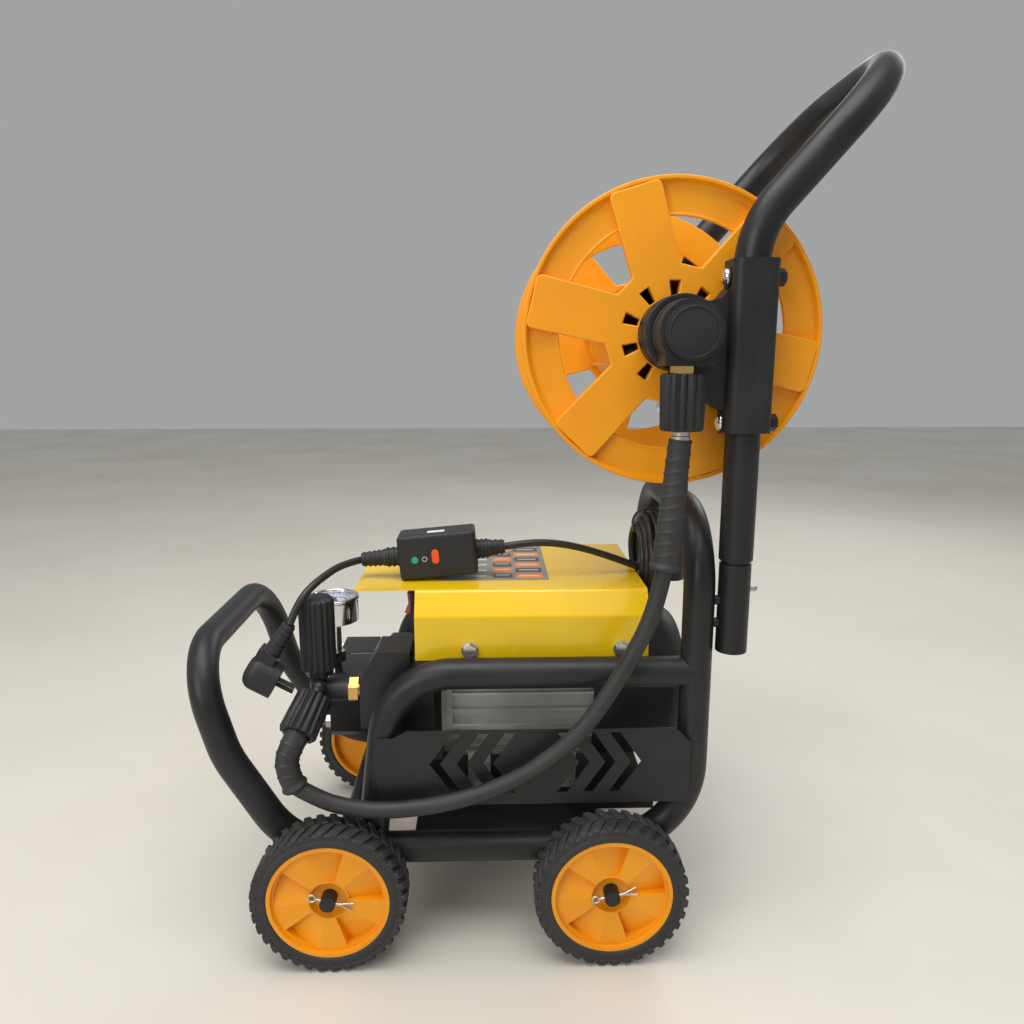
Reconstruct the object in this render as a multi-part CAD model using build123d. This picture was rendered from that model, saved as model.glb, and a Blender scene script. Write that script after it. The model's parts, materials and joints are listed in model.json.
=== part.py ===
from build123d import *
import os
from math import atan2, cos, degrees, pi, radians, sin, sqrt, tan

# Pressure washer: a four-wheeled tube frame carries a motor with an axial pump under a sheet cover.
# A push handle on two sockets carries a hose reel, and a link hose joins the pump to the reel.
# Working frame, mm: X from the pump end (-) to the handle end (+), Y across (- is the switch side),
# Z up from the floor. X 0 is halfway between the axles. finish() moves all to the stated origin.

# ---- wheels and axles ----
wheel_base = 290.0
wheel_radius = 80.0
tyre_width = 38.0
rim_radius = 62.5
rim_dish = 6.0
rim_spokes = 5
hub_radius = 13.0
axle_radius = 8.0
axle_tube_radius = 10.0
axle_end_proud = 1.5
split_pin_radius = 1.4
split_pin_inset = 4.0

# ---- frame ----
tube_radius = 16.0
tube_wall = 2.0
frame_half_width = 135.0
rear_leg_x = 235.0
rear_loop_top_z = 464.0
rear_lower_bend = 94.0
rear_upper_bend = 78.0
front_crossbar_x = -284.0
front_crossbar_z = 323.0
front_knee_x = -255.0
front_knee_z = 215.0
front_foot_x = -190.0
frame_joint_x = -7.0
swage_length = 30.0
side_rail_z = 303.0
side_rail_front_x = -83.0
side_rail_foot_x = -107.0
side_rail_bend = 74.0
panel_thickness = 2.0
panel_low_z = 165.0
panel_high_z = 248.0
panel_front_x = -96.0
panel_rear_x = 229.0
chevron_slot = 11.0
chevron_run = 23.0
chevron_half_height = 33.5
tray_thickness = 3.0
tray_front_x = -60.0
tray_rear_x = 205.0
tray_flange_y = 95.0
tray_flange_height = 23.0

# ---- handle ----
stud_gap = 3.6
socket_low_z = 326.0
socket_high_z = 419.0
handle_tube_radius = 17.0
handle_bend_z = 743.0
handle_top_x = 413.0
handle_top_z = 904.0
handle_lean_bend = 90.0
handle_corner_bend = 95.0
snap_button_z = 392.0
snap_button_radius = 3.2
snap_button_travel = 7.0

# ---- reel ----
reel_x = 204.6
reel_z = 646.0
reel_radius = 150.0
reel_ring_inner = 113.0
reel_hub_radius = 65.0
reel_half_width = 96.0
reel_plate = 12.0
reel_wall = 3.0
reel_bead = 5.0
reel_spoke_width = 46.0
reel_spokes = 6
reel_spoke_start = 47.0
drum_radius = 60.0
drum_wall = 3.0
reel_outlet_y = 20.0
reel_outlet_radius = 11.0
reel_outlet_reach = 66.0
reel_nipple_radius = 8.3
reel_nipple_reach = 84.0
reel_shaft_radius = 11.0
boss_radius = 36.0
boss_inner_y = 110.0
boss_outer_y = 150.0
elbow_radius = 30.0
elbow_outer_y = 184.0
elbow_cap_radius = 25.5
elbow_cap_y = 192.0
clamp_low_z = 552.0
clamp_high_z = 714.0
clamp_half = 22.0
web_drop = 74.0
clamp_bolt_z = (561.0, 698.0)
crank_length = 107.0
crank_angle = 121.0
crank_width = 20.0
crank_y = 158.0
crank_thickness = 9.0
crank_knob_radius = 15.0
crank_knob_length = 58.0

# ---- motor ----
motor_z = 240.0
housing_radius = 80.0
housing_wall = 8.0
fin_height = 8.0
fin_count = 30
fin_thickness = 2.6
housing_front_x = -21.0
housing_rear_x = 136.0
bell_thickness = 12.0
stator_bore = 42.0
core_front_x = 12.0
core_rear_x = 104.0
shaft_radius = 12.0
bearing_radius = 26.0
fan_cover_rear_x = 245.0
fan_cover_wall = 2.5
fan_radius = 74.0
fan_blades = 9
fan_x = 160.0
motor_foot_y = 60.0
motor_foot_x = (8.0, 108.0)
motor_foot_height = 10.0

# ---- pump ----
crankcase_front_x = -118.0
crankcase_half_width = 78.0
crankcase_low_z = 176.0
crankcase_high_z = 272.0
bypass_block_y = (-112.0, -62.0)
bypass_block_low_z = 232.0
bypass_block_high_z = 318.0
bypass_block_rear_x = -64.0
crankcase_wall = 10.0
swash_tilt = 9.0
swash_x = -62.0
plunger_radius = 8.0
plunger_circle = 26.0
pump_head_front_x = -160.0
pump_head_low_z = 198.0
pump_head_high_z = 274.0
pump_head_half_width = 66.0
head_bolt_y = 52.0
inlet_y = 30.0
inlet_z = 226.0
inlet_radius = 13.2
unloader_x = -162.0
unloader_y = -100.0
unloader_z = 272.0
unloader_radius = 12.0
knob_radius = 19.0
knob_low_z = 297.0
knob_high_z = 377.0
gauge_x = -153.0
gauge_y = -52.0
gauge_radius = 27.0
gauge_low_z = 335.0
gauge_high_z = 362.0

# ---- cover, switch ----
cover_front_x = -57.5
cover_rear_x = 188.5
cover_gap = 1.0
cover_low_z = 311.0
cover_fold_z = 358.0
cover_top_z = 383.0
cover_top_half = 102.0
cover_sheet = 1.5
cover_fold_radius = 5.0
visor_x = -122.0
cover_bolt_x = (0.0, 160.0)
rocker_z = 357.5
rocker_y = -60.0
rocker_tilt = 9.0
rocker_axis_x = cover_front_x - 1.5

# ---- link hose ----
hose_radius = 8.5
hose_y = -168.0
collar_radius = 20.0
collar_length = 44.0
reel_collar_radius = 22.0
reel_collar_low_z = 556.0
reel_collar_high_z = 609.0
nipple_radius = 8.5
outlet_radius = 7.5
outlet_ball_radius = 8.3
outlet_face = 8.5

# ---- mains lead ----
cord_radius = 4.0
rcd_length = 85.0
rcd_height = 49.0
rcd_depth = 42.0
rcd_centre = (-35.5, -49.0, 411.5)
rcd_tilt = 5.0
coil_radius = 42.0
coil_section_radius = 17.0
gland_x = 118.0
gland_z = 350.0
gland_out = 14.0
gland_neck = 7.0
plug_centre = Vector(-212, -130, 302)
plug_axis = Vector(0.875, 0, -0.485)
plug_up = Vector(0.485, 0, 0.875)

# ---- fits ----
running_fit = 0.05
seat_gap = 0.05
clearance = 0.1
bolt_radius = 4.0
bolt_head_flats = 13.0

# ---- sizes worked out from the ones above ----
axle_z = wheel_radius
lower_tube_z = axle_z + axle_tube_radius + tube_radius
tube_bore = tube_radius - tube_wall
frame_side_y = frame_half_width + tube_radius
wheel_outer_y = frame_side_y + tyre_width + 3
cover_half_width = frame_half_width - tube_radius - cover_gap
cover_bolt_z = side_rail_z + tube_radius + 3
housing_bore = housing_radius - housing_wall
fin_radius = housing_radius + fin_height
socket_x = rear_leg_x + 2 * tube_radius + stud_gap
tray_z = lower_tube_z + tube_radius
swage_radius = tube_bore - running_fit
handle_bore = handle_tube_radius - tube_wall
outlet = Vector(-160, -116.6, 281)
outlet_direction = Vector(-0.28, -0.74, -0.61).normalized()
coil_x = cover_rear_x + coil_section_radius + 2
coil_z = motor_z + fin_radius + 3 + coil_section_radius + coil_radius
rcd_place = Pos(*rcd_centre) * Rot(Y=-rcd_tilt)

parts = {}
free_cord = ["cord_tail", "cord_hank", "cord_lead", "cord_plug_lead", "mains_plug", "rcd_box"]
free_cord += ["rcd_test_button", "rcd_reset_button", "link_hose"]


def both_sides(make):
    """Makes one piece on each side: make(-1) is on the switch side."""
    return [make(-1), make(1)]


def group(*shapes):
    """Separate solids that share one node."""
    return Compound(children=[solid for shape in shapes for solid in shape.solids()])


def rod(start, end, radius):
    """A round bar from one point to another."""
    run = Vector(*end) - Vector(*start)
    base = Plane(origin=start, z_dir=run)
    return base * Cylinder(radius, run.length, align=(Align.CENTER, Align.CENTER, Align.MIN))


def ring(start, end, outer, inner):
    """A round tube from one point to another."""
    return rod(start, end, outer) - rod(start, end, inner)


def cone(start, end, first, last):
    """A tapered bar from one point to another."""
    run = Vector(*end) - Vector(*start)
    base = Plane(origin=start, z_dir=run)
    return base * Cone(first, last, run.length, align=(Align.CENTER, Align.CENTER, Align.MIN))


def hexagon(start, end, across_flats):
    """A hexagonal bar from one point to another."""
    run = Vector(*end) - Vector(*start)
    face = RegularPolygon(across_flats / 2, 6, major_radius=False)
    return Plane(origin=start, z_dir=run) * extrude(face, run.length)


def block(low, high):
    """A box between two corners."""
    size = [b - a for a, b in zip(low, high)]
    middle = [(a + b) / 2 for a, b in zip(low, high)]
    return Pos(*middle) * Box(*size)


def swept(path, outer, inner=0.0):
    """A round bar or tube along a path."""
    section = Circle(outer) - Circle(inner) if inner else Circle(outer)
    return sweep(Plane(origin=path @ 0, z_dir=path % 0) * section, path=path)


def turned(points):
    """A ring turned about Z from (radius, height) points."""
    return revolve(Plane.XZ * make_face(Polyline(*points, close=True)), axis=Axis.Z)


def route(points, name):
    """A cord's path: straight runs with the largest tangent arc that each pair of runs allows."""
    knots = [Vector(*p) for p in points]
    runs = [b - a for a, b in zip(knots, knots[1:])]
    radii = []
    for first, second in zip(runs, runs[1:]):
        half_turn = radians(first.get_angle(second)) / 2
        radii.append(0.45 * min(first.length, second.length) / tan(half_turn))
    print(name, "radii", [round(r) for r in radii], "runs", [round(r.length) for r in runs])
    path = FilletPolyline(*points, radius=radii)
    print(name, "length", round(path.length))
    return path


# ---- wheels ----


def rim():
    """Rim in the wheel's frame: +Z outwards, Z 0 at the tyre's outer face."""
    barrel = rim_radius - 4
    bore = axle_radius + running_fit
    back = -(tyre_width - 2)
    face = -rim_dish
    body = turned([
        (bore, back - 3), (hub_radius, back - 3), (hub_radius, face - 18), (barrel, face - 18),
        (barrel, back), (rim_radius, back), (rim_radius, -1.5), (barrel, -1.5), (barrel, face),
        (hub_radius + 7, face), (hub_radius + 5, face - 8), (bore, face - 8),
    ])
    sector_end = 42.0
    inner, outer = hub_radius + 8, barrel - 3
    depth = 11.0
    slope = degrees(atan2(depth, outer * sin(radians(sector_end))))
    for unit in range(rim_spokes):
        start = unit * 360 / rim_spokes
        face_sketch = make_face([
            CenterArc((0, 0), outer, start, sector_end),
            Line((outer * cos(radians(start + sector_end)), outer * sin(radians(start + sector_end))),
                 (inner * cos(radians(start + sector_end)), inner * sin(radians(start + sector_end)))),
            CenterArc((0, 0), inner, start, sector_end),
            Line((outer * cos(radians(start)), outer * sin(radians(start))),
                 (inner * cos(radians(start)), inner * sin(radians(start)))),
        ])
        sector = Pos(0, 0, face - 16) * extrude(face_sketch, 20)
        above = Rot(Z=start + sector_end) * Pos(0, 0, face) * Rot(X=slope) * Pos(0, 0, 30) * Box(300, 300, 60)
        body -= sector & above
    return body


def tyre():
    """Tyre in the wheel's frame."""
    seat = rim_radius + seat_gap
    shoulder = wheel_radius - 4
    width = tyre_width
    return turned([
        (seat, -2), (seat + 2, 0), (shoulder, 0), (wheel_radius, -3.5), (wheel_radius, 3.5 - width),
        (shoulder, -width), (seat + 2, -width), (seat, 2 - width),
    ])


def wheel_place(x, side):
    return Plane(origin=(x, side * wheel_outer_y, axle_z), x_dir=(1, 0, 0), z_dir=(0, side, 0))


def wheels():
    for end, x in (("front", -wheel_base / 2), ("rear", wheel_base / 2)):
        for name, side in (("near", -1), ("far", 1)):
            parts[f"{end}_{name}_rim"] = wheel_place(x, side) * rim()
            parts[f"{end}_{name}_tyre"] = wheel_place(x, side) * tyre()


def split_pin_frame(x, side):
    """Centre of the axle end, with X along the pin."""
    lean = radians(-15.0 if x < 0 else 12.0)
    y = side * (wheel_outer_y - split_pin_inset)
    return Plane(origin=(x, y, axle_z), x_dir=(cos(lean), 0, sin(lean)), z_dir=(0, side, 0))


def axles():
    bars = []
    pins = []
    for x in (-wheel_base / 2, wheel_base / 2):
        end = wheel_outer_y + axle_end_proud
        bar = rod((x, -end, axle_z), (x, end, axle_z), axle_radius)
        for side in (-1, 1):
            place = split_pin_frame(x, side)
            bar -= place * rod((-15, 0, 0), (15, 0, 0), split_pin_radius + clearance)
            shank = rod((-14, 0, 0), (12, 0, 0), split_pin_radius)
            eye = Pos(-17, 0, 0) * Torus(3.6, split_pin_radius * 0.8)
            legs = [rod((11, 0, 0), (26, lift, 0), split_pin_radius * 0.7) for lift in (-4, 5)]
            pins.append(place * (shank + eye + legs[0] + legs[1]))
        bars.append(bar)
    parts["wheel_axles"] = group(*bars)
    parts["split_pins"] = group(*pins)


# ---- frame ----


def loop_path(side_points, radii):
    """A path symmetric about the middle plane, from its points on the switch side."""
    near = [(x, -frame_half_width, z) for x, z in side_points]
    far = [(x, frame_half_width, z) for x, z in reversed(side_points)]
    return FilletPolyline(*near, *far, radius=radii + radii[::-1])


def frame_loops():
    rear = loop_path(
        [(frame_joint_x, lower_tube_z), (rear_leg_x, lower_tube_z), (rear_leg_x, rear_loop_top_z)],
        [rear_lower_bend, rear_upper_bend],
    )
    parts["rear_loop_tube"] = swept(rear, tube_radius, tube_bore)
    front = loop_path(
        [(frame_joint_x, lower_tube_z), (front_foot_x, lower_tube_z), (front_knee_x, front_knee_z),
         (front_crossbar_x, front_crossbar_z)],
        [90, 120, 65],
    )
    loop = swept(front, tube_radius, tube_bore - tube_wall)
    for side in (-1, 1):
        y = side * frame_half_width
        start = (frame_joint_x, y, lower_tube_z)
        end = (frame_joint_x + swage_length, y, lower_tube_z)
        loop += ring(start, end, swage_radius, tube_bore - tube_wall)
    parts["front_loop_tube"] = loop


def leg_solid(side):
    """The rear leg and the lower tube as full bars, for coping what is welded to them."""
    y = side * frame_half_width
    leg = rod((rear_leg_x, y, lower_tube_z), (rear_leg_x, y, rear_loop_top_z), tube_radius)
    return leg + rod((front_foot_x, y, lower_tube_z), (rear_leg_x, y, lower_tube_z), tube_radius)


def cover_tab(x, side):
    """Bolt tab for the cover, welded to the side rail's inner face."""
    out = cover_half_width - cover_sheet
    low = side_rail_z - 3
    inner, outer = sorted((side * (out - 3), side * out))
    plate = block((x - 12, inner, low), (x + 12, outer, cover_bolt_z + 12))
    reach = sorted((side * (out - 3), side * frame_half_width))
    foot = block((x - 12, reach[0], low), (x + 12, reach[1], low + 3))
    hole = rod((x, side * 100, cover_bolt_z), (x, side * 130, cover_bolt_z), bolt_radius + clearance)
    return plate + foot - hole


def side_rail(side):
    y = side * frame_half_width
    corner = (side_rail_front_x, y, side_rail_z)
    foot = (side_rail_foot_x, y, lower_tube_z)
    path = FilletPolyline((rear_leg_x, y, side_rail_z), corner, foot, radius=side_rail_bend)
    outside = swept(path, tube_radius)
    for x in cover_bolt_x:
        outside += cover_tab(x, side)
    return outside - swept(path, tube_bore) - leg_solid(side)


def chevron(tip, point):
    """A slot shaped like an arrow head whose tip points along X by the sign of point."""
    back = tip - point * chevron_run
    wide = -point * chevron_slot
    middle = (panel_low_z + panel_high_z) / 2 + 4.5
    low, high = middle - chevron_half_height, middle + chevron_half_height
    return make_face(Polyline(
        (tip, middle), (back, high), (back + wide, high), (tip + wide, middle), (back + wide, low),
        (back, low), close=True,
    ))


def side_panel(side):
    corner = 16.0
    outline = make_face(Polyline(
        (panel_front_x, panel_low_z), (panel_rear_x, panel_low_z), (panel_rear_x, panel_high_z - corner),
        (panel_rear_x - corner, panel_high_z), (panel_front_x + 2 * corner, panel_high_z),
        (panel_front_x + corner, panel_high_z - corner / 2), (panel_front_x, panel_high_z - corner / 2),
        close=True,
    ))
    for tip in (-42, -14, 13):
        outline -= chevron(tip, -1)
    for tip in (124, 151, 178):
        outline -= chevron(tip, 1)
    sheet = extrude(Plane.XZ * outline, -side * panel_thickness)
    return Pos(0, side * frame_side_y, 0) * sheet


def undercarriage():
    wide_end = rear_leg_x - rear_lower_bend - 1
    top = tray_z + tray_thickness
    tray = block((tray_front_x, -frame_half_width, tray_z), (wide_end, frame_half_width, top))
    tray += block((wide_end - 1, -tray_flange_y, tray_z), (tray_rear_x, tray_flange_y, top))
    for y in (-motor_foot_y, motor_foot_y):
        for x in motor_foot_x:
            tray -= rod((x, y, tray_z - 1), (x, y, tray_z + 9), bolt_radius + clearance)
    for side in (-1, 1):
        near, far = sorted((side * tray_flange_y, side * (tray_flange_y - tray_thickness)))
        tray += block((tray_front_x, near, tray_z), (tray_rear_x, far, top + tray_flange_height))
    tubes = []
    for x in (-wheel_base / 2, wheel_base / 2):
        tube = ring((x, -frame_side_y, axle_z), (x, frame_side_y, axle_z), axle_tube_radius,
                    axle_radius + clearance)
        tubes.append(tube)
    parts["undercarriage"] = group(tray, *tubes)


# ---- handle ----


def handle_socket(side):
    y = side * frame_half_width
    body = rod((socket_x, y, socket_low_z), (socket_x, y, socket_high_z), tube_radius)
    for z in (socket_low_z + 30, socket_low_z + 54):
        body += rod((rear_leg_x + 8, y, z), (socket_x - tube_wall, y, z), 5)
    body -= rod((socket_x, y, socket_low_z - 1), (socket_x, y, socket_high_z + 1), tube_bore)
    button_hole = (socket_x + 20, y, snap_button_z)
    body -= rod((socket_x, y, snap_button_z), button_hole, snap_button_radius + clearance)
    return body - leg_solid(side)


def push_handle():
    shoulder = socket_high_z + 4
    side_points = [(socket_x, shoulder), (socket_x, handle_bend_z), (handle_top_x, handle_top_z)]
    path = loop_path(side_points, [handle_lean_bend, handle_corner_bend])
    body = swept(path, handle_tube_radius, handle_bore)
    swage_bore = swage_radius - tube_wall
    for side in (-1, 1):
        y = side * frame_half_width
        low = socket_low_z + 14
        body += ring((socket_x, y, low), (socket_x, y, shoulder + 3), swage_radius, swage_bore)
        body += ring((socket_x, y, shoulder), (socket_x, y, shoulder + 3), handle_tube_radius, swage_bore)
        button_hole = (socket_x + 20, y, snap_button_z)
        body -= rod((socket_x, y, snap_button_z), button_hole, snap_button_radius + clearance)
        for z in clamp_bolt_z:
            body -= rod((socket_x - 30, y, z), (socket_x + 30, y, z), bolt_radius + clearance)
    parts["push_handle"] = body


def snap_button(side):
    y = side * frame_half_width
    x = socket_x
    swage_bore = swage_radius - tube_wall
    flange_radius = 6.0
    seat = sqrt(swage_bore**2 - flange_radius**2) - clearance
    flange = rod((x + seat - 2, y, snap_button_z), (x + seat, y, snap_button_z), flange_radius)
    reach = tube_radius + snap_button_travel + 1 - snap_button_radius
    shank = rod((x + seat - 1, y, snap_button_z), (x + reach, y, snap_button_z), snap_button_radius)
    dome = Pos(x + reach, y, snap_button_z) * Sphere(snap_button_radius)
    return flange + shank + dome


# ---- reel ----


def reel_plane(side):
    """Reel plate's frame: +Z outwards along the reel's axis, Z 0 at its inner face."""
    origin = (reel_x, side * reel_half_width, reel_z)
    return Plane(origin=origin, x_dir=(1, 0, 0), z_dir=(0, side, 0))


def reel_flange(side):
    ring_face = Circle(reel_radius) - Circle(reel_ring_inner)
    raised = Sketch() + Circle(reel_hub_radius)
    hollow = Sketch()
    inner, outer = reel_hub_radius - 6, reel_radius - reel_bead - 2
    channel = reel_spoke_width - 2 * reel_wall
    for spoke in range(reel_spokes):
        turn = Rot(Z=spoke * 360 / reel_spokes + reel_spoke_start)
        raised += turn * Pos((inner + outer) / 2, 0) * Rectangle(outer - inner, reel_spoke_width)
        half = (channel - reel_wall) / 2
        start, end = reel_hub_radius + 4, outer - reel_wall
        for shift_y in (-1, 1):
            place = Pos((start + end) / 2, shift_y * (half + reel_wall) / 2)
            hollow += turn * place * Rectangle(end - start, half)
    for hole in range(10):
        raised -= Rot(Z=hole * 36 + 18) * Pos(44, 0) * Rectangle(18, 14)
    raised -= Circle(reel_shaft_radius + seat_gap)
    plate = extrude(ring_face, reel_wall) + extrude(raised, reel_plate)
    plate += extrude(Circle(reel_radius) - Circle(reel_radius - reel_bead), reel_plate - 2)
    return reel_plane(side) * (plate - extrude(hollow, reel_plate - reel_wall))


def reel_drum():
    half = reel_half_width - seat_gap
    section = Circle(drum_radius) - Circle(drum_radius - drum_wall)
    for rib in range(12):
        section += Rot(Z=rib * 30) * Pos(drum_radius + 1.5, 0) * Rectangle(5, 3)
    base = Plane(origin=(reel_x, -half, reel_z), x_dir=(1, 0, 0), z_dir=(0, 1, 0))
    outlet_end = at_reel(reel_outlet_y, 0, reel_outlet_reach)
    hole = rod(at_reel(reel_outlet_y), outlet_end, reel_outlet_radius + clearance)
    parts["reel_drum"] = base * extrude(section, 2 * half) - hole


def at_reel(y, x=0.0, z=0.0):
    return (reel_x + x, y, reel_z + z)


def reel_shaft():
    shaft = rod(at_reel(-boss_outer_y - 12), at_reel(crank_y), reel_shaft_radius)
    shaft += rod(at_reel(-60), at_reel(60), 24)
    shaft += rod(at_reel(reel_outlet_y), at_reel(reel_outlet_y, 0, reel_outlet_reach), reel_outlet_radius)
    shaft += rod(at_reel(reel_outlet_y), at_reel(reel_outlet_y, 0, reel_nipple_reach), reel_nipple_radius)
    shaft += hexagon(at_reel(crank_y - 1), at_reel(crank_y + crank_thickness), 15)
    parts["reel_shaft"] = shaft


def crank():
    lean = radians(crank_angle)
    dx, dz = crank_length * cos(lean), crank_length * sin(lean)
    low, high = crank_y + seat_gap, crank_y + crank_thickness
    arm = rod(at_reel(low), at_reel(high), 18) + rod(at_reel(low, dx, dz), at_reel(high, dx, dz), 13)
    bar = Box(crank_length, crank_width, high - low, align=(Align.MIN, Align.CENTER, Align.MIN))
    across = Plane(origin=at_reel(low), x_dir=(cos(lean), 0, sin(lean)), z_dir=(0, 1, 0))
    arm += across * bar
    arm -= hexagon(at_reel(crank_y - 1), at_reel(high + 1), 15 + 2 * seat_gap)
    pin_end = high + crank_knob_length - 4
    arm += rod(at_reel(high - 1, dx, dz), at_reel(pin_end, dx, dz), 5)
    parts["crank_arm"] = arm
    start, end = high + 1, high + crank_knob_length
    knob = rod(at_reel(start, dx, dz), at_reel(end, dx, dz), crank_knob_radius)
    knob = fillet(knob.edges().filter_by(GeomType.CIRCLE), 4)
    knob -= rod(at_reel(start - 1, dx, dz), at_reel(pin_end + 0.5, dx, dz), 5 + running_fit)
    parts["crank_knob"] = knob


def handle_bore_cut(y):
    low, high = (socket_x, y, clamp_low_z - 1), (socket_x, y, clamp_high_z + 1)
    return rod(low, high, handle_tube_radius + seat_gap)


def reel_bracket(side):
    """Front half: boss round the reel's shaft, web arm and half of the handle clamp."""
    y = side * frame_half_width
    inner, outer = sorted((side * boss_inner_y, side * boss_outer_y))
    body = rod(at_reel(inner), at_reel(outer), boss_radius)
    near, far = y - clamp_half, y + clamp_half
    web_low, web_high = sorted((side * (boss_inner_y + 5), side * (boss_outer_y - 8)))
    clamp_face = socket_x - clamp_half
    web = make_face(Polyline(
        (reel_x, boss_radius - 2), (clamp_face - 18, boss_radius - 6), (clamp_face - 7, boss_radius - 3),
        (clamp_face, boss_radius + 6), (socket_x - 5, boss_radius + 6), (socket_x - 5, -web_drop),
        (clamp_face, -web_drop), (clamp_face - 30, 17 - web_drop), (reel_x, 2 - boss_radius), close=True,
    ))
    body += Pos(0, web_high, reel_z) * extrude(Plane.XZ * web, web_high - web_low)
    half_clamp = block((socket_x - clamp_half, near, clamp_low_z), (socket_x - clearance, far, clamp_high_z))
    body += fillet(half_clamp.edges().filter_by(Axis.Z).sort_by(Axis.X)[:2], 9)
    body -= handle_bore_cut(y)
    body -= rod(at_reel(inner - 1), at_reel(outer + 1), reel_shaft_radius + running_fit)
    for z in clamp_bolt_z:
        body -= rod((socket_x - 40, y, z), (socket_x, y, z), bolt_radius + clearance)
    return body


def bracket_clamp(side):
    """Rear half of the handle clamp."""
    y = side * frame_half_width
    near, far = y - clamp_half, y + clamp_half
    body = block((socket_x + clearance, near, clamp_low_z), (socket_x + clamp_half, far, clamp_high_z))
    body = fillet(body.edges().filter_by(Axis.Z).sort_by(Axis.X)[-2:], 9)
    body -= handle_bore_cut(y)
    for z in clamp_bolt_z:
        body -= rod((socket_x, y, z), (socket_x + 40, y, z), bolt_radius + clearance)
    return body


def swivel_elbow():
    start = -boss_outer_y - seat_gap
    body = rod(at_reel(start), at_reel(-elbow_outer_y), elbow_radius)
    body += rod(at_reel(-elbow_outer_y), at_reel(-elbow_cap_y), elbow_cap_radius)
    flat = elbow_radius
    body += block((reel_x - 24, -elbow_outer_y, reel_z - flat), (reel_x + 21, start, reel_z))
    body -= rod(at_reel(start + 1), at_reel(-boss_outer_y - 12.5), reel_shaft_radius + running_fit)
    parts["swivel_elbow"] = body


# ---- fasteners ----


def clamp_bolt(side, z):
    y = side * frame_half_width
    face, back = socket_x - clamp_half, socket_x + clamp_half
    bolt = rod((face - 1, y, z), (back + 9, y, z), bolt_radius)
    bolt += cone((face - seat_gap, y, z), (face - 5, y, z), 8, 5)
    return bolt, hexagon((back + seat_gap, y, z), (back + 7, y, z), bolt_head_flats) - rod(
        (back - 1, y, z), (back + 10, y, z), bolt_radius + clearance)


def cover_bolt(side, x):
    face = cover_half_width + seat_gap
    z = cover_bolt_z
    bolt = rod((x, side * face, z), (x, side * (face + 1.6), z), 9)
    bolt += hexagon((x, side * (face + 1), z), (x, side * (face + 6), z), bolt_head_flats)
    return bolt + rod((x, side * (face + 1), z), (x, side * (face - 12), z), bolt_radius)


def foot_bolt(x, y):
    head = tray_z + tray_thickness + motor_foot_height + seat_gap
    bolt = rod((x, y, tray_z - 8), (x, y, head + 1), bolt_radius)
    return bolt + hexagon((x, y, head), (x, y, head + 5), bolt_head_flats)


def fasteners():
    pieces = []
    for side in (-1, 1):
        for z in clamp_bolt_z:
            pieces.extend(clamp_bolt(side, z))
        for x in cover_bolt_x:
            pieces.append(cover_bolt(side, x))
        for x in motor_foot_x:
            pieces.append(foot_bolt(x, side * motor_foot_y))
    for y in (-head_bolt_y, head_bolt_y):
        for z in (pump_head_low_z + 14, pump_head_high_z - 14):
            face = pump_head_front_x - seat_gap
            bolt = hexagon((face, y, z), (face - 7, y, z), bolt_head_flats)
            pieces.append(bolt + rod((face - 1, y, z), (face + 30, y, z), bolt_radius))
    parts["bolts_and_nuts"] = group(*pieces)


# ---- motor ----


def on_axis(x, y=0.0, z=0.0):
    return (x, y, motor_z + z)


def motor_housing():
    section = Circle(housing_radius)
    for fin in range(fin_count):
        turn = Rot(Z=fin * 360 / fin_count)
        root = housing_radius + 2
        section += turn * Pos(root, 0) * Rectangle(2 * (fin_radius - root), fin_thickness)
    length = housing_rear_x - housing_front_x
    body = Plane(origin=on_axis(housing_front_x), x_dir=(0, 1, 0), z_dir=(1, 0, 0)) * extrude(section, length)
    foot_top = tray_z + tray_thickness + motor_foot_height
    for y in (-motor_foot_y, motor_foot_y):
        inner, outer = sorted((y - 0.25 * y, y + 0.25 * y))
        for x in motor_foot_x:
            body += block((x - 13, inner, tray_z + tray_thickness), (x + 13, outer, foot_top))
            web_x = x - 13
            near, far = sorted((y * 0.75, y * 0.88))
            body += block((web_x, near, foot_top - 1), (x + 13, far, motor_z - 50))
    body -= rod(on_axis(housing_front_x - 1), on_axis(housing_rear_x + 1), housing_bore)
    for y in (-motor_foot_y, motor_foot_y):
        for x in motor_foot_x:
            body -= rod((x, y, tray_z), (x, y, foot_top + 0.5), bolt_radius + clearance)
            body -= rod((x, y, foot_top), (x, y, foot_top + 14), 8.5)
    parts["motor_housing"] = body


def motor_end_bells():
    front = ring(on_axis(housing_front_x - bell_thickness), on_axis(housing_front_x), housing_radius + 4,
                 bearing_radius + seat_gap)
    rear = ring(on_axis(housing_rear_x), on_axis(housing_rear_x + bell_thickness - 2), housing_radius,
                bearing_radius + seat_gap)
    parts["motor_end_bells"] = group(front, rear)


def shaft_bearings():
    rings = []
    front = (housing_front_x - bell_thickness, bell_thickness)
    for low, wide in (front, (housing_rear_x, bell_thickness - 2)):
        rings.append(ring(on_axis(low + 0.5), on_axis(low + wide - 0.5), bearing_radius,
                          shaft_radius + running_fit))
    parts["shaft_bearings"] = group(*rings)


def fan_cover():
    outer = rod(on_axis(housing_rear_x + seat_gap), on_axis(fan_cover_rear_x), fin_radius)
    outer = fillet(outer.edges().filter_by(GeomType.CIRCLE).sort_by(Axis.X)[-1], 24)
    bore = fin_radius - fan_cover_wall
    inner = rod(on_axis(housing_rear_x - 1), on_axis(fan_cover_rear_x - fan_cover_wall), bore)
    inner = fillet(inner.edges().filter_by(GeomType.CIRCLE).sort_by(Axis.X)[-1], 22)
    body = outer - inner
    slot_x = fan_cover_rear_x - 10
    for slot in range(16):
        turn = Pos(slot_x, 0, motor_z) * Rot(X=slot * 22.5) * Pos(0, 0, 38)
        body -= turn * Box(30, 6, 40)
    parts["fan_cover"] = body


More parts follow.
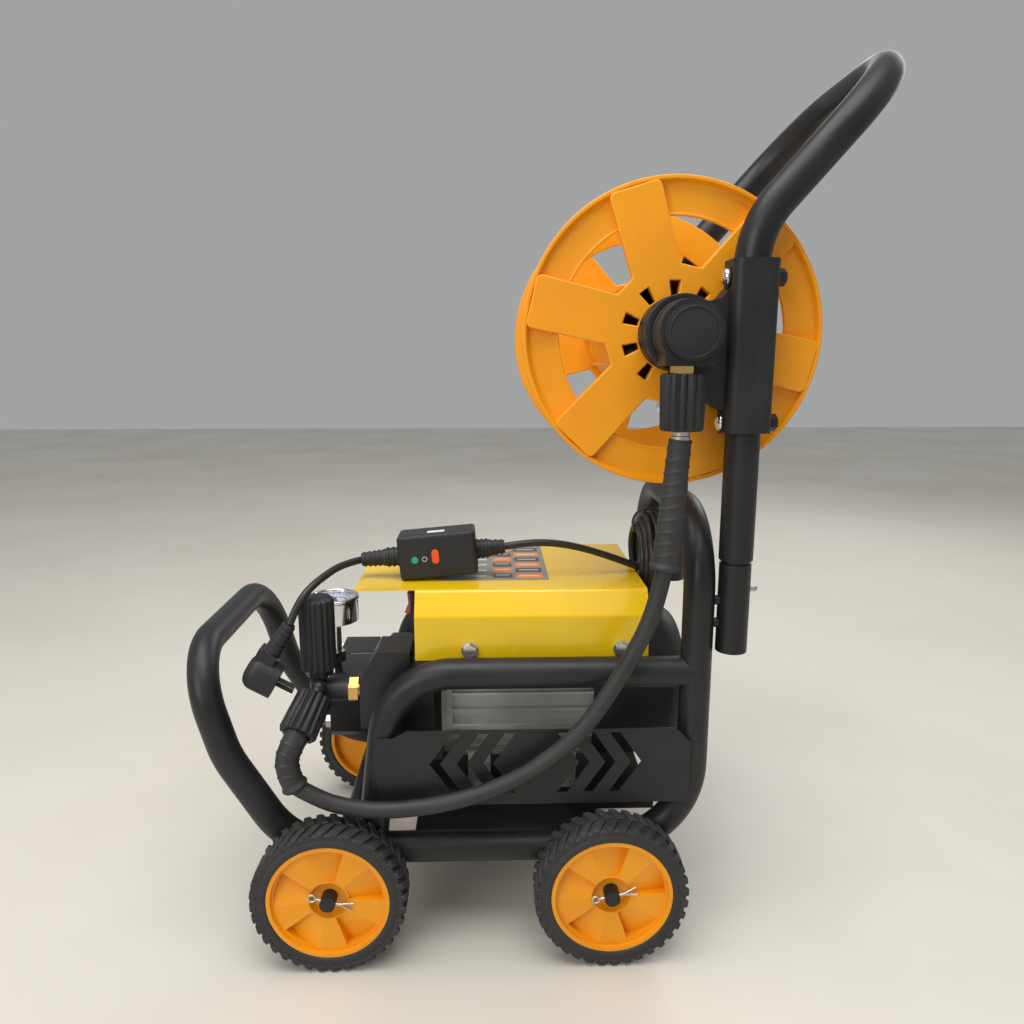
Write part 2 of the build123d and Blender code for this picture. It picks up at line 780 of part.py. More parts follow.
def stator_core():
    bore = stator_bore
    core = ring(on_axis(core_front_x), on_axis(core_rear_x), housing_bore - seat_gap, bore)
    for low, high in ((core_front_x - 14, core_front_x + 1), (core_rear_x - 1, core_rear_x + 14)):
        core += ring(on_axis(low), on_axis(high), housing_bore - 8, bore + 4)
    parts["stator_core"] = core


def rotor():
    body = rod(on_axis(swash_x - 4), on_axis(fan_x + 26), shaft_radius)
    body += rod(on_axis(core_front_x), on_axis(core_rear_x), stator_bore - 0.6)
    disc = Pos(swash_x, 0, motor_z) * Rot(Y=90 + swash_tilt) * Cylinder(38, 14)
    parts["rotor"] = body + disc


def cooling_fan():
    hub_bore = shaft_radius + seat_gap
    body = ring(on_axis(fan_x), on_axis(fan_x + 24), 20, hub_bore)
    body += ring(on_axis(fan_x), on_axis(fan_x + 2.5), fan_radius, hub_bore)
    for blade in range(fan_blades):
        turn = Pos(fan_x + 12, 0, motor_z) * Rot(X=blade * 360 / fan_blades) * Pos(0, 0, 46)
        body += turn * Box(22, 2.5, 54)
    parts["cooling_fan"] = body


# ---- pump ----


def plunger_places():
    return [(plunger_circle * cos(radians(a)), plunger_circle * sin(radians(a))) for a in (90, 210, 330)]


def pump():
    low = (crankcase_front_x, -crankcase_half_width, crankcase_low_z)
    rear_x = housing_front_x - bell_thickness - seat_gap
    case = block(low, (rear_x, crankcase_half_width, crankcase_high_z))
    case = chamfer(case.edges().filter_by(Axis.Y).sort_by(Axis.X)[:2], 14)
    front, near = crankcase_front_x, bypass_block_y[0]
    side = make_face(Polyline(
        (front, bypass_block_low_z), (front, 286), (front + 19, bypass_block_high_z),
        (bypass_block_rear_x, bypass_block_high_z), (bypass_block_rear_x, 300), (-40, 300),
        (-40, bypass_block_low_z), close=True,
    ))
    case += Pos(0, bypass_block_y[1], 0) * extrude(Plane.XZ * side, bypass_block_y[1] - near)
    case -= rod(on_axis(crankcase_front_x + crankcase_wall), on_axis(rear_x + 1), 54)
    back = pump_head_front_x + 10
    head = block((pump_head_front_x, -pump_head_half_width, pump_head_low_z),
                 (crankcase_front_x - seat_gap, pump_head_half_width, pump_head_high_z))
    head = chamfer(head.edges().filter_by(Axis.X), 8)
    plungers = []
    for y, z in plunger_places():
        case -= rod(on_axis(crankcase_front_x - 1, y, z), on_axis(crankcase_front_x + 30, y, z),
                    plunger_radius + clearance)
        head -= rod(on_axis(back, y, z), on_axis(crankcase_front_x + 1, y, z), plunger_radius + clearance)
        plungers.append(rod(on_axis(back + 4, y, z), on_axis(swash_x - 20, y, z), plunger_radius))
    for y in (-head_bolt_y, head_bolt_y):
        for z in (pump_head_low_z + 14, pump_head_high_z - 14):
            bolt_start = (pump_head_front_x - 1, y, z)
            head -= rod(bolt_start, (pump_head_front_x + 32, y, z), bolt_radius + clearance)
    head -= gauge_stem_hole()
    parts["pump_crankcase"] = case
    parts["pump_head"] = head
    parts["pump_plungers"] = group(*plungers)


def gauge_stem_hole():
    top = (gauge_x, gauge_y, pump_head_high_z + 1)
    return rod((gauge_x, gauge_y, pump_head_high_z - 12), top, 6 + clearance)


def gauge():
    centre = (gauge_x, gauge_y)
    case = rod((*centre, gauge_low_z), (*centre, gauge_high_z), gauge_radius)
    case += rod((*centre, pump_head_high_z + seat_gap), (*centre, gauge_low_z + 1), 7)
    case += hexagon((*centre, pump_head_high_z + 12), (*centre, pump_head_high_z + 24), 19)
    case += rod((*centre, pump_head_high_z - 10), (*centre, pump_head_high_z + 2), 6)
    case -= rod((*centre, gauge_high_z - 7), (*centre, gauge_high_z + 1), gauge_radius - 3)
    post = rod((*centre, gauge_high_z - 8), (*centre, gauge_high_z - 3.5), 1.5)
    parts["gauge_case"] = case + post
    parts["gauge_lens"] = rod((*centre, gauge_high_z - 2), (*centre, gauge_high_z - 0.5),
                              gauge_radius - 3 - seat_gap)
    z = gauge_high_z - 5
    needle = block((gauge_x - 1, gauge_y - 18, z), (gauge_x + 1, gauge_y + 6, z + 0.8))
    needle += rod((*centre, z), (*centre, z + 1.2), 3.5)
    parts["gauge_needle"] = needle - rod((*centre, z - 1), (*centre, z + 3), 1.5 + running_fit)


def along_outlet(distance):
    return tuple(outlet + outlet_direction * distance)


def unloader():
    head_face = pump_head_front_x
    start = (unloader_x, unloader_y, unloader_z)
    body = rod(start, (head_face + 30, unloader_y, unloader_z), unloader_radius)
    body += rod((unloader_x, unloader_y, unloader_z - 20), (unloader_x, unloader_y, unloader_z + 12), 10.5)
    port_z = unloader_z - 10
    port_end = (-145, -pump_head_half_width - seat_gap, port_z)
    body += rod((-145, unloader_y, port_z), port_end, 9)
    body += rod((unloader_x + 1, unloader_y, unloader_z + 2), tuple(outlet), outlet_radius)
    body += Pos(*outlet) * Sphere(outlet_ball_radius)
    body += rod(tuple(outlet), along_outlet(outlet_face), outlet_radius)
    stem_top = knob_high_z - 14
    body += rod((unloader_x, unloader_y, unloader_z + 11), (unloader_x, unloader_y, stem_top), 7)
    body += hexagon((unloader_x, unloader_y, knob_low_z - 7), (unloader_x, unloader_y, knob_low_z - 1), 26)
    parts["unloader_body"] = body
    knob = rod((unloader_x, unloader_y, knob_low_z), (unloader_x, unloader_y, knob_high_z), knob_radius)
    knob = chamfer(knob.edges().filter_by(GeomType.CIRCLE), 2)
    stem = rod((unloader_x, unloader_y, knob_low_z - 1), (unloader_x, unloader_y, stem_top + 0.5),
               7 + running_fit)
    parts["regulator_knob"] = knob - stem


def brass_fittings():
    union_x = pump_head_front_x + 30
    union_end = crankcase_front_x - seat_gap
    union = hexagon((union_x + seat_gap, unloader_y, unloader_z), (union_end - 2, unloader_y, unloader_z), 24)
    union += rod((union_end - 3, unloader_y, unloader_z), (union_end, unloader_y, unloader_z), 9)
    face = outlet_face + seat_gap
    nipple = rod(along_outlet(face), along_outlet(40), nipple_radius)
    nipple += hexagon(along_outlet(face), along_outlet(9.9), 19)
    top = reel_z - elbow_radius - seat_gap
    reel_nipple = rod((reel_x - 3, hose_y, top), (reel_x - 3, hose_y, reel_collar_low_z + 20), nipple_radius)
    reel_nipple += hexagon((reel_x - 3, hose_y, top), (reel_x - 3, hose_y, reel_collar_high_z + 0.5), 22)
    inlet_face = pump_head_front_x - seat_gap
    inlet = hexagon((inlet_face, inlet_y, inlet_z), (inlet_face - 14, inlet_y, inlet_z), 32)
    inlet += rod((inlet_face - 13, inlet_y, inlet_z), (inlet_face - 32, inlet_y, inlet_z), inlet_radius)
    inlet -= rod((inlet_face - 33, inlet_y, inlet_z), (inlet_face - 6, inlet_y, inlet_z), 9)
    parts["brass_fittings"] = group(union, nipple, reel_nipple, inlet)


# ---- cover and switch ----


def motor_cover():
    def profile(inset):
        side, top = cover_half_width - inset, cover_top_half - inset * 0.6
        face = make_face(Polyline(
            (-side, cover_low_z), (-side, cover_fold_z), (-top, cover_top_z - inset),
            (top, cover_top_z - inset), (side, cover_fold_z), (side, cover_low_z), close=True,
        ))
        folds = face.vertices().filter_by_position(Axis.Y, cover_fold_z - 1, cover_top_z + 1)
        return fillet(folds, cover_fold_radius - inset)
    length = cover_rear_x - cover_front_x
    front = Plane(origin=(cover_front_x, 0, 0), x_dir=(0, 1, 0), z_dir=(1, 0, 0))
    shell = front * extrude(profile(0), length)
    shell -= front * Pos(0, 0, -1) * extrude(profile(cover_sheet), length + 2)
    cut = 30.0
    half, back = cover_top_half - 4, cover_front_x + 1
    visor = make_face(Polyline(
        (visor_x, -half), (visor_x, half - cut), (visor_x + cut, half), (back, half), (back, -half),
        close=True,
    ))
    shell += Pos(0, 0, cover_top_z - cover_sheet) * extrude(visor, cover_sheet)
    end_plate = front * Pos(0, 0, length - cover_sheet) * extrude(profile(cover_sheet / 2), cover_sheet)
    rear_low = rod((cover_rear_x - 5, 0, motor_z), (cover_rear_x + 5, 0, motor_z), fin_radius + 3)
    shell += end_plate - rear_low
    for x in cover_bolt_x:
        for side in (-1, 1):
            inner, outer = side * (cover_half_width - 5), side * (cover_half_width + 5)
            shell -= rod((x, inner, cover_bolt_z), (x, outer, cover_bolt_z), bolt_radius + clearance)
    gland_start = (gland_x, cover_half_width - 6, gland_z)
    shell -= rod(gland_start, (gland_x, cover_half_width + 3, gland_z), gland_neck + clearance)
    parts["motor_cover"] = shell


def switch_box():
    top = cover_top_z - cover_sheet - seat_gap
    front = cover_front_x - 6.5
    box = block((front, rocker_y - 30, rocker_z - 27), (front + 50, rocker_y + 30, top))
    half = 12.0
    window = 15.5
    window_low = (front - 1, rocker_y - half, rocker_z - window)
    box -= block(window_low, (front + 22, rocker_y + half, rocker_z + window))
    parts["switch_box"] = box
    axis_x = rocker_axis_x
    wedge = make_face(Polyline(
        (axis_x - 12, -11.5), (axis_x - 9, 0), (axis_x - 12, 11.5), (axis_x + 2, 9.5), (axis_x + 5, 0),
        (axis_x + 2, -9.5), close=True,
    ))
    wide = half - 0.5
    rocker = Pos(0, rocker_y + wide, rocker_z) * extrude(Plane.XZ * wedge, 2 * wide)
    axle = Axis((axis_x, rocker_y, rocker_z), (0, 1, 0))
    parts["rocker_switch"] = rocker.rotate(axle, rocker_tilt)


# ---- link hose ----


def hose_collars():
    bore = nipple_radius + running_fit
    collar = ring(along_outlet(10), along_outlet(10 + collar_length), collar_radius, bore)
    collar -= rod(along_outlet(40.5), along_outlet(60), 15)
    parts["hose_collar_pump"] = collar
    x = reel_x - 3
    low, high = reel_collar_low_z, reel_collar_high_z
    collar = ring((x, hose_y, low), (x, hose_y, high), reel_collar_radius, bore)
    collar -= rod((x, hose_y, low - 1), (x, hose_y, low + 19.5), 15)
    parts["hose_collar_reel"] = collar


def link_hose():
    x = reel_x - 3
    top = reel_collar_low_z + 18.5
    sleeve_top, sleeve_low = (200.5, hose_y, 541), (191.5, hose_y, 426)
    upper = rod((x, hose_y, top), sleeve_top, 9.5)
    upper += cone(sleeve_top, sleeve_low, 12, 15)
    bend = [along_outlet(41), along_outlet(60), (-184, -168, 221), (-178, -168, 199)]
    lower = swept(FilletPolyline(*bend, radius=[30, 24]), 12)
    parts["hose_sleeves"] = group(upper, lower)
    points = [
        sleeve_low, (186, hose_y, 396), (176, hose_y, 362), (160, hose_y, 330), (139, hose_y, 292),
        (110, hose_y, 249), (66, hose_y, 212), (16, hose_y, 187), (-38, hose_y, 173), (-90, hose_y, 168.5),
        (-129, hose_y, 174), (-156, hose_y, 184.5), (-178, hose_y, 199),
    ]
    path = route(points, "link_hose")
    hose = swept(path, hose_radius)
    print("link_hose section times length", round(pi * hose_radius**2 * path.length), "volume",
          round(hose.volume))
    parts["link_hose"] = hose


# ---- mains lead ----


def rcd_point(x, y, z):
    """A point given in the residual-current box's own frame."""
    moved = rcd_place * Pos(x, y, z)
    return tuple(moved.position)


def rcd():
    box = Box(rcd_length, rcd_depth, rcd_height)
    box = fillet(box.edges(), 4)
    for end, reach, first in ((-1, 42, 9), (1, 31, 9)):
        face = end * (rcd_length / 2 - 2)
        box += cone((face, 0, -1), (end * (rcd_length / 2 + reach), 0, -1), first, 6.5)
    face = -rcd_depth / 2
    box -= rod((-24.5, face - 1, -2), (-24.5, face + 5, -2), 3.9)
    slot = Pos(-2, 0, -1) * (Rectangle(8.2, 8.2) + Pos(0, 4.1) * Circle(4.1) + Pos(0, -4.1) * Circle(4.1))
    box -= Pos(0, face + 5, 0) * extrude(Plane.XZ * slot, 8)
    parts["rcd_box"] = rcd_place * box
    test = rod((-24.5, face - 1.5, -2), (-24.5, face + 2.5, -2), 3.7)
    parts["rcd_test_button"] = rcd_place * test
    oblong = Pos(-2, 0, -1) * (Rectangle(7.8, 8.2) + Pos(0, 4.1) * Circle(3.9) + Pos(0, -4.1) * Circle(3.9))
    reset = Pos(0, face + 2.5, 0) * extrude(Plane.XZ * oblong, 4.5)
    parts["rcd_reset_button"] = rcd_place * reset


def plug_frame():
    return Plane(origin=tuple(plug_centre), x_dir=tuple(plug_up), z_dir=tuple(plug_axis))


def mains_plug():
    """Round-faced plug: +Z along the pins, +X towards its lead."""
    body = Pos(0, 0, -2) * Cylinder(19, 34)
    body = fillet(body.edges().filter_by(GeomType.CIRCLE).sort_by(Axis.Z)[0], 12)
    body += Pos(14, 0, -6) * Box(26, 20, 20)
    body += cone((20, 0, -4), (62, 0, -1), 8, 5.5)
    for side in (-1, 1):
        y, x = side * 9.5 * sin(radians(48)), side * 9.5 * cos(radians(48))
        body += rod((x, y, 14), (x, y, 34), 2.4)
    parts["mains_plug"] = plug_frame() * body


def plug_point(x, y, z):
    return tuple((plug_frame().location * Pos(x, y, z)).position)


def cord_gland():
    y = cover_half_width
    body = rod((gland_x, y + seat_gap, gland_z), (gland_x, y + 5, gland_z), 12)
    body += rod((gland_x, y - 4, gland_z), (gland_x, y + 1, gland_z), gland_neck)
    body += rod((gland_x, y + 4, gland_z), (gland_x, y + gland_out, gland_z), 9)
    body += Pos(gland_x, y + gland_out, gland_z) * Sphere(9)
    body += cone((gland_x, y + gland_out, gland_z), (gland_x + 34, y + gland_out, gland_z), 9, 5.5)
    parts["cord_gland"] = body


def coil():
    torus = Torus(coil_radius, coil_section_radius)
    parts["cord_hank"] = Pos(coil_x, 0, coil_z) * Rot(Y=90) * torus


def cord(name, points):
    path = route(points, name)
    tube = swept(path, cord_radius)
    section = pi * cord_radius**2
    print(name, "section times length", round(section * path.length), "volume", round(tube.volume))
    return tube


def cords():
    rcd()
    mains_plug()
    cord_gland()
    coil()
    left = rcd_point(-rcd_length / 2 - 42, 0, -1)
    plug_end = plug_point(62, 0, -1)
    points = [left, (-138, -66, 402.5), (-152, -90, 397.5), (-166, -112, 388.5), (-176, -125, 374.5)]
    points.append(plug_end)
    parts["cord_plug_lead"] = cord("cord_plug_lead", points)
    right = rcd_point(rcd_length / 2 + 31, 0, -1)
    entry = (coil_x - 8.5, 9 - coil_radius, coil_z - 5.5)
    points = [right, (66, -47, 421), (98, -44, 419), (128, -41, 412), (157, -38, 402), (183, -35, 391.5)]
    points.append(entry)
    parts["cord_lead"] = cord("cord_lead", points) - parts["cord_hank"]
    start = (gland_x + 34, cover_half_width + gland_out, gland_z)
    end = (coil_x - 1, coil_radius - 2, coil_z - coil_radius - 1)
    points = [start, (172, 132, 350), (190, 126.5, 349), (204.5, 114, 347.5), (212, 96.5, 346)]
    points += [(212.5, 70, 345.5), end]
    parts["cord_tail"] = cord("cord_tail", points) - parts["cord_hank"]


def finish():
    """Moves every piece so that the origin is the middle of the object's base, and writes it."""
    own = [shape.bounding_box() for name, shape in parts.items() if name not in free_cord]
    low_x, high_x = min(b.min.X for b in own), max(b.max.X for b in own)
    low_y, high_y = min(b.min.Y for b in own), max(b.max.Y for b in own)
    low_z = min(b.min.Z for b in own)
    shift = Vector(-(low_x + high_x) / 2, -(low_y + high_y) / 2, -low_z)
    os.makedirs("parts", exist_ok=True)
    for name, shape in parts.items():
        export_step(Pos(*shift) * shape, f"parts/{name}.step")
    print("shift", tuple(round(v, 4) for v in shift), "nodes", len(parts))
    return shift


wheels()
axles()
frame_loops()
parts["side_rails"] = group(*both_sides(side_rail))
parts["side_panels"] = group(*both_sides(side_panel))
undercarriage()
parts["handle_sockets"] = group(*both_sides(handle_socket))
push_handle()
parts["snap_button_near"], parts["snap_button_far"] = both_sides(snap_button)
parts["reel_flanges"] = group(*both_sides(reel_flange))
reel_drum()
reel_shaft()
crank()
parts["reel_brackets"] = group(*both_sides(reel_bracket))
parts["bracket_clamps"] = group(*both_sides(bracket_clamp))
swivel_elbow()
fasteners()
motor_housing()
motor_end_bells()
shaft_bearings()
fan_cover()
stator_core()
rotor()
cooling_fan()
pump()
gauge()
unloader()
brass_fittings()
motor_cover()
switch_box()
hose_collars()
link_hose()
cords()
shift = finish()
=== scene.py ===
import bmesh
import bpy
import json
from math import atan2, cos, pi, radians, sin, tan
from mathutils import Matrix, Vector


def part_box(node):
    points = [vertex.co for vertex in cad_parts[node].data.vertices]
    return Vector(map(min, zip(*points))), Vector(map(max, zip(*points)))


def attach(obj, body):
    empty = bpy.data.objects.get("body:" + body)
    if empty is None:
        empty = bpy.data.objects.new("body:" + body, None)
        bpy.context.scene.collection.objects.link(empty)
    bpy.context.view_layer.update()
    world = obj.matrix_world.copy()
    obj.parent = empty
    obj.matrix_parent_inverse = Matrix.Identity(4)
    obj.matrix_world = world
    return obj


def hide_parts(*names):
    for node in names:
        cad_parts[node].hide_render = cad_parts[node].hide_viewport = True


# Pressure washer: tube frame on four wheels, motor and pump under a yellow cover, hose reel on the handle.
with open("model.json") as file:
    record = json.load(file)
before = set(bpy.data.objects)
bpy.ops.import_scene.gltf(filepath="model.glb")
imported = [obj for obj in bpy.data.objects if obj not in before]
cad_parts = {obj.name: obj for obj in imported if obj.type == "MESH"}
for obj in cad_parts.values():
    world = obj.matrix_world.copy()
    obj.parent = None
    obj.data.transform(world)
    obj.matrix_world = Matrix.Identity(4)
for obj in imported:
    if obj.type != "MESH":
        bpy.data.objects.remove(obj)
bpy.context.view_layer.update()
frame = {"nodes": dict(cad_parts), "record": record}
MM = 0.001


def box_of(node):
    low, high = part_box(node)
    return Vector(low), Vector(high)


def middle_of(node):
    low, high = box_of(node)
    return (low + high) / 2


# The design's own zero: halfway between the axles, in the middle plane, on the floor.
origin = (middle_of("front_near_tyre") + middle_of("rear_far_tyre")) / 2
origin.z = 0.0


def at(x, y, z):
    """A point of the design, given in millimetres from its own zero."""
    return origin + Vector((x, y, z)) * MM


# ---- camera ----

lens_height = 626.0
lens_distance = 908.0
lens_pitch = 11.2
lens_yaw = 1.73

eye = bpy.data.cameras.new("camera")
eye.lens = 27.9
eye.clip_end = 50.0
camera = bpy.data.objects.new("camera", eye)
camera.location = at(20.4, -lens_distance, lens_height)
camera.rotation_euler = (radians(90 - lens_pitch), 0.0, radians(-lens_yaw))
bpy.context.collection.objects.link(camera)
bpy.context.scene.camera = camera
bpy.context.scene.view_settings.view_transform = "Standard"

# ---- cord routes, in the design's millimetres ----

hose_diameter = 17.0
lead_diameter = 8.0
link_hose_points = [
    (191.5, -168, 426), (186, -168, 396), (176, -168, 362), (160, -168, 330), (139, -168, 292),
    (110, -168, 249), (66, -168, 212), (16, -168, 187), (-38, -168, 173), (-90, -168, 168.5),
    (-129, -168, 174), (-156, -168, 184.5), (-178, -168, 199),
]
rcd_centre = Vector((-35.5, -49.0, 411.5))
rcd_tilt = radians(5.0)
rcd_reach = 42.5
rcd_left_relief = 42.0
rcd_right_relief = 31.0
plug_centre = Vector((-212.0, -130.0, 302.0))
plug_axis = Vector((0.875, 0.0, -0.485)).normalized()
plug_up = Vector((0.485, 0.0, 0.875)).normalized()
coil_centre = Vector((207.5, 0.0, 390.0))
coil_row_radii = (31.6, 38.5, 45.5, 52.4)
coil_strands = [
    (-4, 3), (4, 3), (8, 2), (0, 2), (-8, 2), (-12, 1), (-4, 1), (4, 1), (12, 1), (8, 0), (0, 0), (-8, 0),
]
turn_points = 12


def on_rcd(x, y, z):
    """A point of the residual-current box's own frame, tilted about Y."""
    return rcd_centre + Matrix.Rotation(-rcd_tilt, 3, "Y") @ Vector((x, y, z))


def on_plug(x, y, z):
    """A point of the plug's frame: Z along its pins, X towards its lead."""
    return plug_centre + plug_up * x + plug_axis.cross(plug_up) * y + plug_axis * z


def coil_points():
    """The coil's turns: each runs up the near side, over the top and back below, where it changes place."""
    points = []
    places = [(shift, coil_row_radii[row]) for shift, row in coil_strands]
    step = 360 / turn_points
    for turn, (shift, radius) in enumerate(places):
        is_last = turn == len(places) - 1
        next_shift, next_radius = (shift, radius) if is_last else places[turn + 1]
        for spot in range(3 if is_last else turn_points):
            share = max(0.0, (spot - 8) / 4)
            angle = radians(-90 - step * (spot + 0.5))
            reach = (radius + (next_radius - radius) * share) / cos(radians(step / 2))
            x = shift + (next_shift - shift) * share
            points.append(coil_centre + Vector((x, reach * cos(angle), reach * sin(angle))))
    return points


tail_points = [
    (152, 132, 350), (172, 132, 350), (190, 126.5, 349), (204.5, 114, 347.5), (212, 96.5, 346),
    (212.5, 70, 345.5), (207, 38, 339),
]
lead_points = [
    (199, -32.5, 386), (183, -35, 391.5), (157, -38, 402), (128, -41, 412), (98, -44, 419), (66, -47, 421),
    tuple(on_rcd(rcd_reach + rcd_right_relief, 0, -1)),
]
mains_lead_points = tail_points + [tuple(point) for point in coil_points()] + lead_points
plug_lead_points = [
    tuple(on_rcd(-rcd_reach - rcd_left_relief, 0, -1)), (-138, -66, 402.5), (-152, -90, 397.5),
    (-166, -112, 388.5), (-176, -125, 374.5), tuple(on_plug(62, 0, -1)),
]

# ---- mesh tools ----


def new_object(name, data, material=None):
    thing = bpy.data.objects.new(name, data)
    bpy.context.collection.objects.link(thing)
    if material is not None:
        data.materials.append(material)
    return thing


def plain_mesh(thing, name=None):
    """The evaluated shape as a plain mesh object, in place of the one with modifiers or curves."""
    graph = bpy.context.evaluated_depsgraph_get()
    mesh = bpy.data.meshes.new_from_object(thing.evaluated_get(graph))
    title = name or thing.name
    bpy.data.objects.remove(thing)
    mesh.name = title
    return new_object(title, mesh)


def from_bmesh(name, shape, material, smooth_angle=35.0):
    mesh = bpy.data.meshes.new(name)
    bmesh.ops.remove_doubles(shape, verts=shape.verts, dist=1e-6)
    bmesh.ops.recalc_face_normals(shape, faces=shape.faces)
    shape.to_mesh(mesh)
    shape.free()
    thing = new_object(name, mesh, material)
    shade(thing, smooth_angle)
    return thing


def shade(thing, angle=35.0):
    thing.data.shade_smooth()
    thing.data.set_sharp_from_angle(angle=radians(angle))


def frame_matrix(place, z_dir, x_dir):
    """A frame whose Z runs along z_dir, with X as near x_dir as it can be."""
    z_axis = Vector(z_dir).normalized()
    x_axis = (Vector(x_dir) - z_axis * Vector(x_dir).dot(z_axis)).normalized()
    y_axis = z_axis.cross(x_axis)
    turn = Matrix((x_axis, y_axis, z_axis)).transposed().to_4x4()
    return Matrix.Translation(place) @ turn


def put(thing, matrix):
    thing.data.transform(matrix)
    return thing


def scaled(shape):
    """Millimetres to metres."""
    bmesh.ops.scale(shape, vec=(MM, MM, MM), verts=shape.verts)
    return shape


def lathe(shape, profile, steps=48, lobes=0, depth=0.0, slant=0.0):
    """Turns a closed (radius, height) outline about Z. Lobes press flutes of that depth into it."""
    loops = []
    for step in range(steps):
        angle = 2 * pi * step / steps
        flute = depth * (0.5 - 0.5 * cos(lobes * angle)) ** 2 if lobes else 0.0
        loop = []
        for radius, height, *mark in profile:
            r = radius - flute * (mark[0] if mark else 1.0)
            z = height + slant * radius * cos(angle)
            loop.append(shape.verts.new((r * cos(angle), r * sin(angle), z)))
        loops.append(loop)
    count = len(profile)
    for step in range(steps):
        here, there = loops[step], loops[(step + 1) % steps]
        for i in range(count):
            j = (i + 1) % count
            shape.faces.new((here[i], there[i], there[j], here[j]))
    return shape


def rounded(points, radius, steps=5):
    """A closed outline with each corner turned into an arc."""
    result = []
    count = len(points)
    for i, corner in enumerate(points):
        corner = Vector(corner)
        before = Vector(points[i - 1]) - corner
        after = Vector(points[(i + 1) % count]) - corner
        half = before.angle(after) / 2
        reach = min(radius / tan(half), 0.45 * before.length, 0.45 * after.length)
        turn = reach * tan(half)
        start = corner + before.normalized() * reach
        end = corner + after.normalized() * reach
        centre = corner + (before.normalized() + after.normalized()).normalized() * (turn / sin(half))
        for step in range(steps + 1):
            mix = start.lerp(end, step / steps) - centre
            result.append(centre + mix.normalized() * turn)
    return result


def plate(name, outlines, thickness, bevel, material):
    """A flat part with rounded edges from closed outlines, the first the outermost. Z 0 is its middle."""
    curve = bpy.data.curves.new(name, "CURVE")
    curve.dimensions = "2D"
    curve.fill_mode = "BOTH"
    curve.extrude = (thickness / 2 - bevel) * MM
    curve.bevel_depth = bevel * MM
    curve.bevel_resolution = 2
    for outline in outlines:
        spline = curve.splines.new("POLY")
        spline.points.add(len(outline) - 1)
        for point, spot in zip(spline.points, outline):
            point.co = (spot[0] * MM, spot[1] * MM, 0, 1)
        spline.use_cyclic_u = True
    thing = plain_mesh(new_object(name, curve))
    shape = bmesh.new()
    shape.from_mesh(thing.data)
    bpy.data.objects.remove(thing)
    result = from_bmesh(name, shape, material)
    for face in result.data.polygons:
        if abs(face.normal.z) > 0.999:
            face.use_smooth = False
    return result


def joined(name, things):
    """Makes one piece of several."""
    shape = bmesh.new()
    materials = []
    for thing in things:
        offset = len(materials)
        materials.extend(thing.data.materials)
        before = len(shape.faces)
        shape.from_mesh(thing.data)
        shape.faces.ensure_lookup_table()
        for face in shape.faces[before:]:
            face.material_index += offset
        bpy.data.objects.remove(thing)
    mesh = bpy.data.meshes.new(name)
    shape.to_mesh(mesh)
    shape.free()
    result = new_object(name, mesh)
    unique = list(dict.fromkeys(materials))
    order = [unique.index(material) for material in materials]
    for face in mesh.polygons:
        face.material_index = order[face.material_index]
    for material in unique:
        mesh.materials.append(material)
    return result


def spline_curve(name, points, diameter, material, resolution=6):
    curve = bpy.data.curves.new(name, "CURVE")
    curve.dimensions = "3D"
    curve.resolution_u = resolution
    curve.bevel_depth = diameter / 2 * MM
    curve.bevel_resolution = 5
    curve.use_fill_caps = True
    spline = curve.splines.new("NURBS")
    spline.points.add(len(points) - 1)
    for point, spot in zip(spline.points, points):
        point.co = (*at(*spot), 1)
    spline.order_u = 3
    spline.use_endpoint_u = True
    return new_object(name, curve, material)


# ---- geometry node trees ----


def ring_tree():
    """Copies of the object's own mesh, evenly round Z at a radius, each turned to face outwards."""
    tree = bpy.data.node_groups.new("copies round an axis", "GeometryNodeTree")
    sockets = tree.interface
    sockets.new_socket("Geometry", in_out="INPUT", socket_type="NodeSocketGeometry")
    sockets.new_socket("Count", in_out="INPUT", socket_type="NodeSocketInt")
    sockets.new_socket("Radius", in_out="INPUT", socket_type="NodeSocketFloat")
    sockets.new_socket("Start Angle", in_out="INPUT", socket_type="NodeSocketFloat")
    sockets.new_socket("Material", in_out="INPUT", socket_type="NodeSocketMaterial")
    sockets.new_socket("Geometry", in_out="OUTPUT", socket_type="NodeSocketGeometry")
    nodes, links = tree.nodes, tree.links
    given = nodes.new("NodeGroupInput")
    result = nodes.new("NodeGroupOutput")
    circle = nodes.new("GeometryNodeMeshCircle")
    links.new(given.outputs["Count"], circle.inputs["Vertices"])
    links.new(given.outputs["Radius"], circle.inputs["Radius"])
    index = nodes.new("GeometryNodeInputIndex")
    step = nodes.new("ShaderNodeMath")
    step.operation = "DIVIDE"
    step.inputs[0].default_value = 2 * pi
    links.new(given.outputs["Count"], step.inputs[1])
    angle = nodes.new("ShaderNodeMath")
    angle.operation = "MULTIPLY"
    links.new(index.outputs[0], angle.inputs[0])
    links.new(step.outputs[0], angle.inputs[1])
    turn = nodes.new("ShaderNodeCombineXYZ")
    links.new(angle.outputs[0], turn.inputs["Z"])
    copies = nodes.new("GeometryNodeInstanceOnPoints")
    links.new(circle.outputs["Mesh"], copies.inputs["Points"])
    links.new(given.outputs["Geometry"], copies.inputs["Instance"])
    links.new(turn.outputs[0], copies.inputs["Rotation"])
    whole = nodes.new("ShaderNodeCombineXYZ")
    links.new(given.outputs["Start Angle"], whole.inputs["Z"])
    spun = nodes.new("GeometryNodeTransform")
    links.new(copies.outputs[0], spun.inputs["Geometry"])
    links.new(whole.outputs[0], spun.inputs["Rotation"])
    solid = nodes.new("GeometryNodeRealizeInstances")
    links.new(spun.outputs[0], solid.inputs[0])
    paint = nodes.new("GeometryNodeSetMaterial")
    links.new(solid.outputs[0], paint.inputs["Geometry"])
    links.new(given.outputs["Material"], paint.inputs["Material"])
    links.new(paint.outputs[0], result.inputs[0])
    return tree


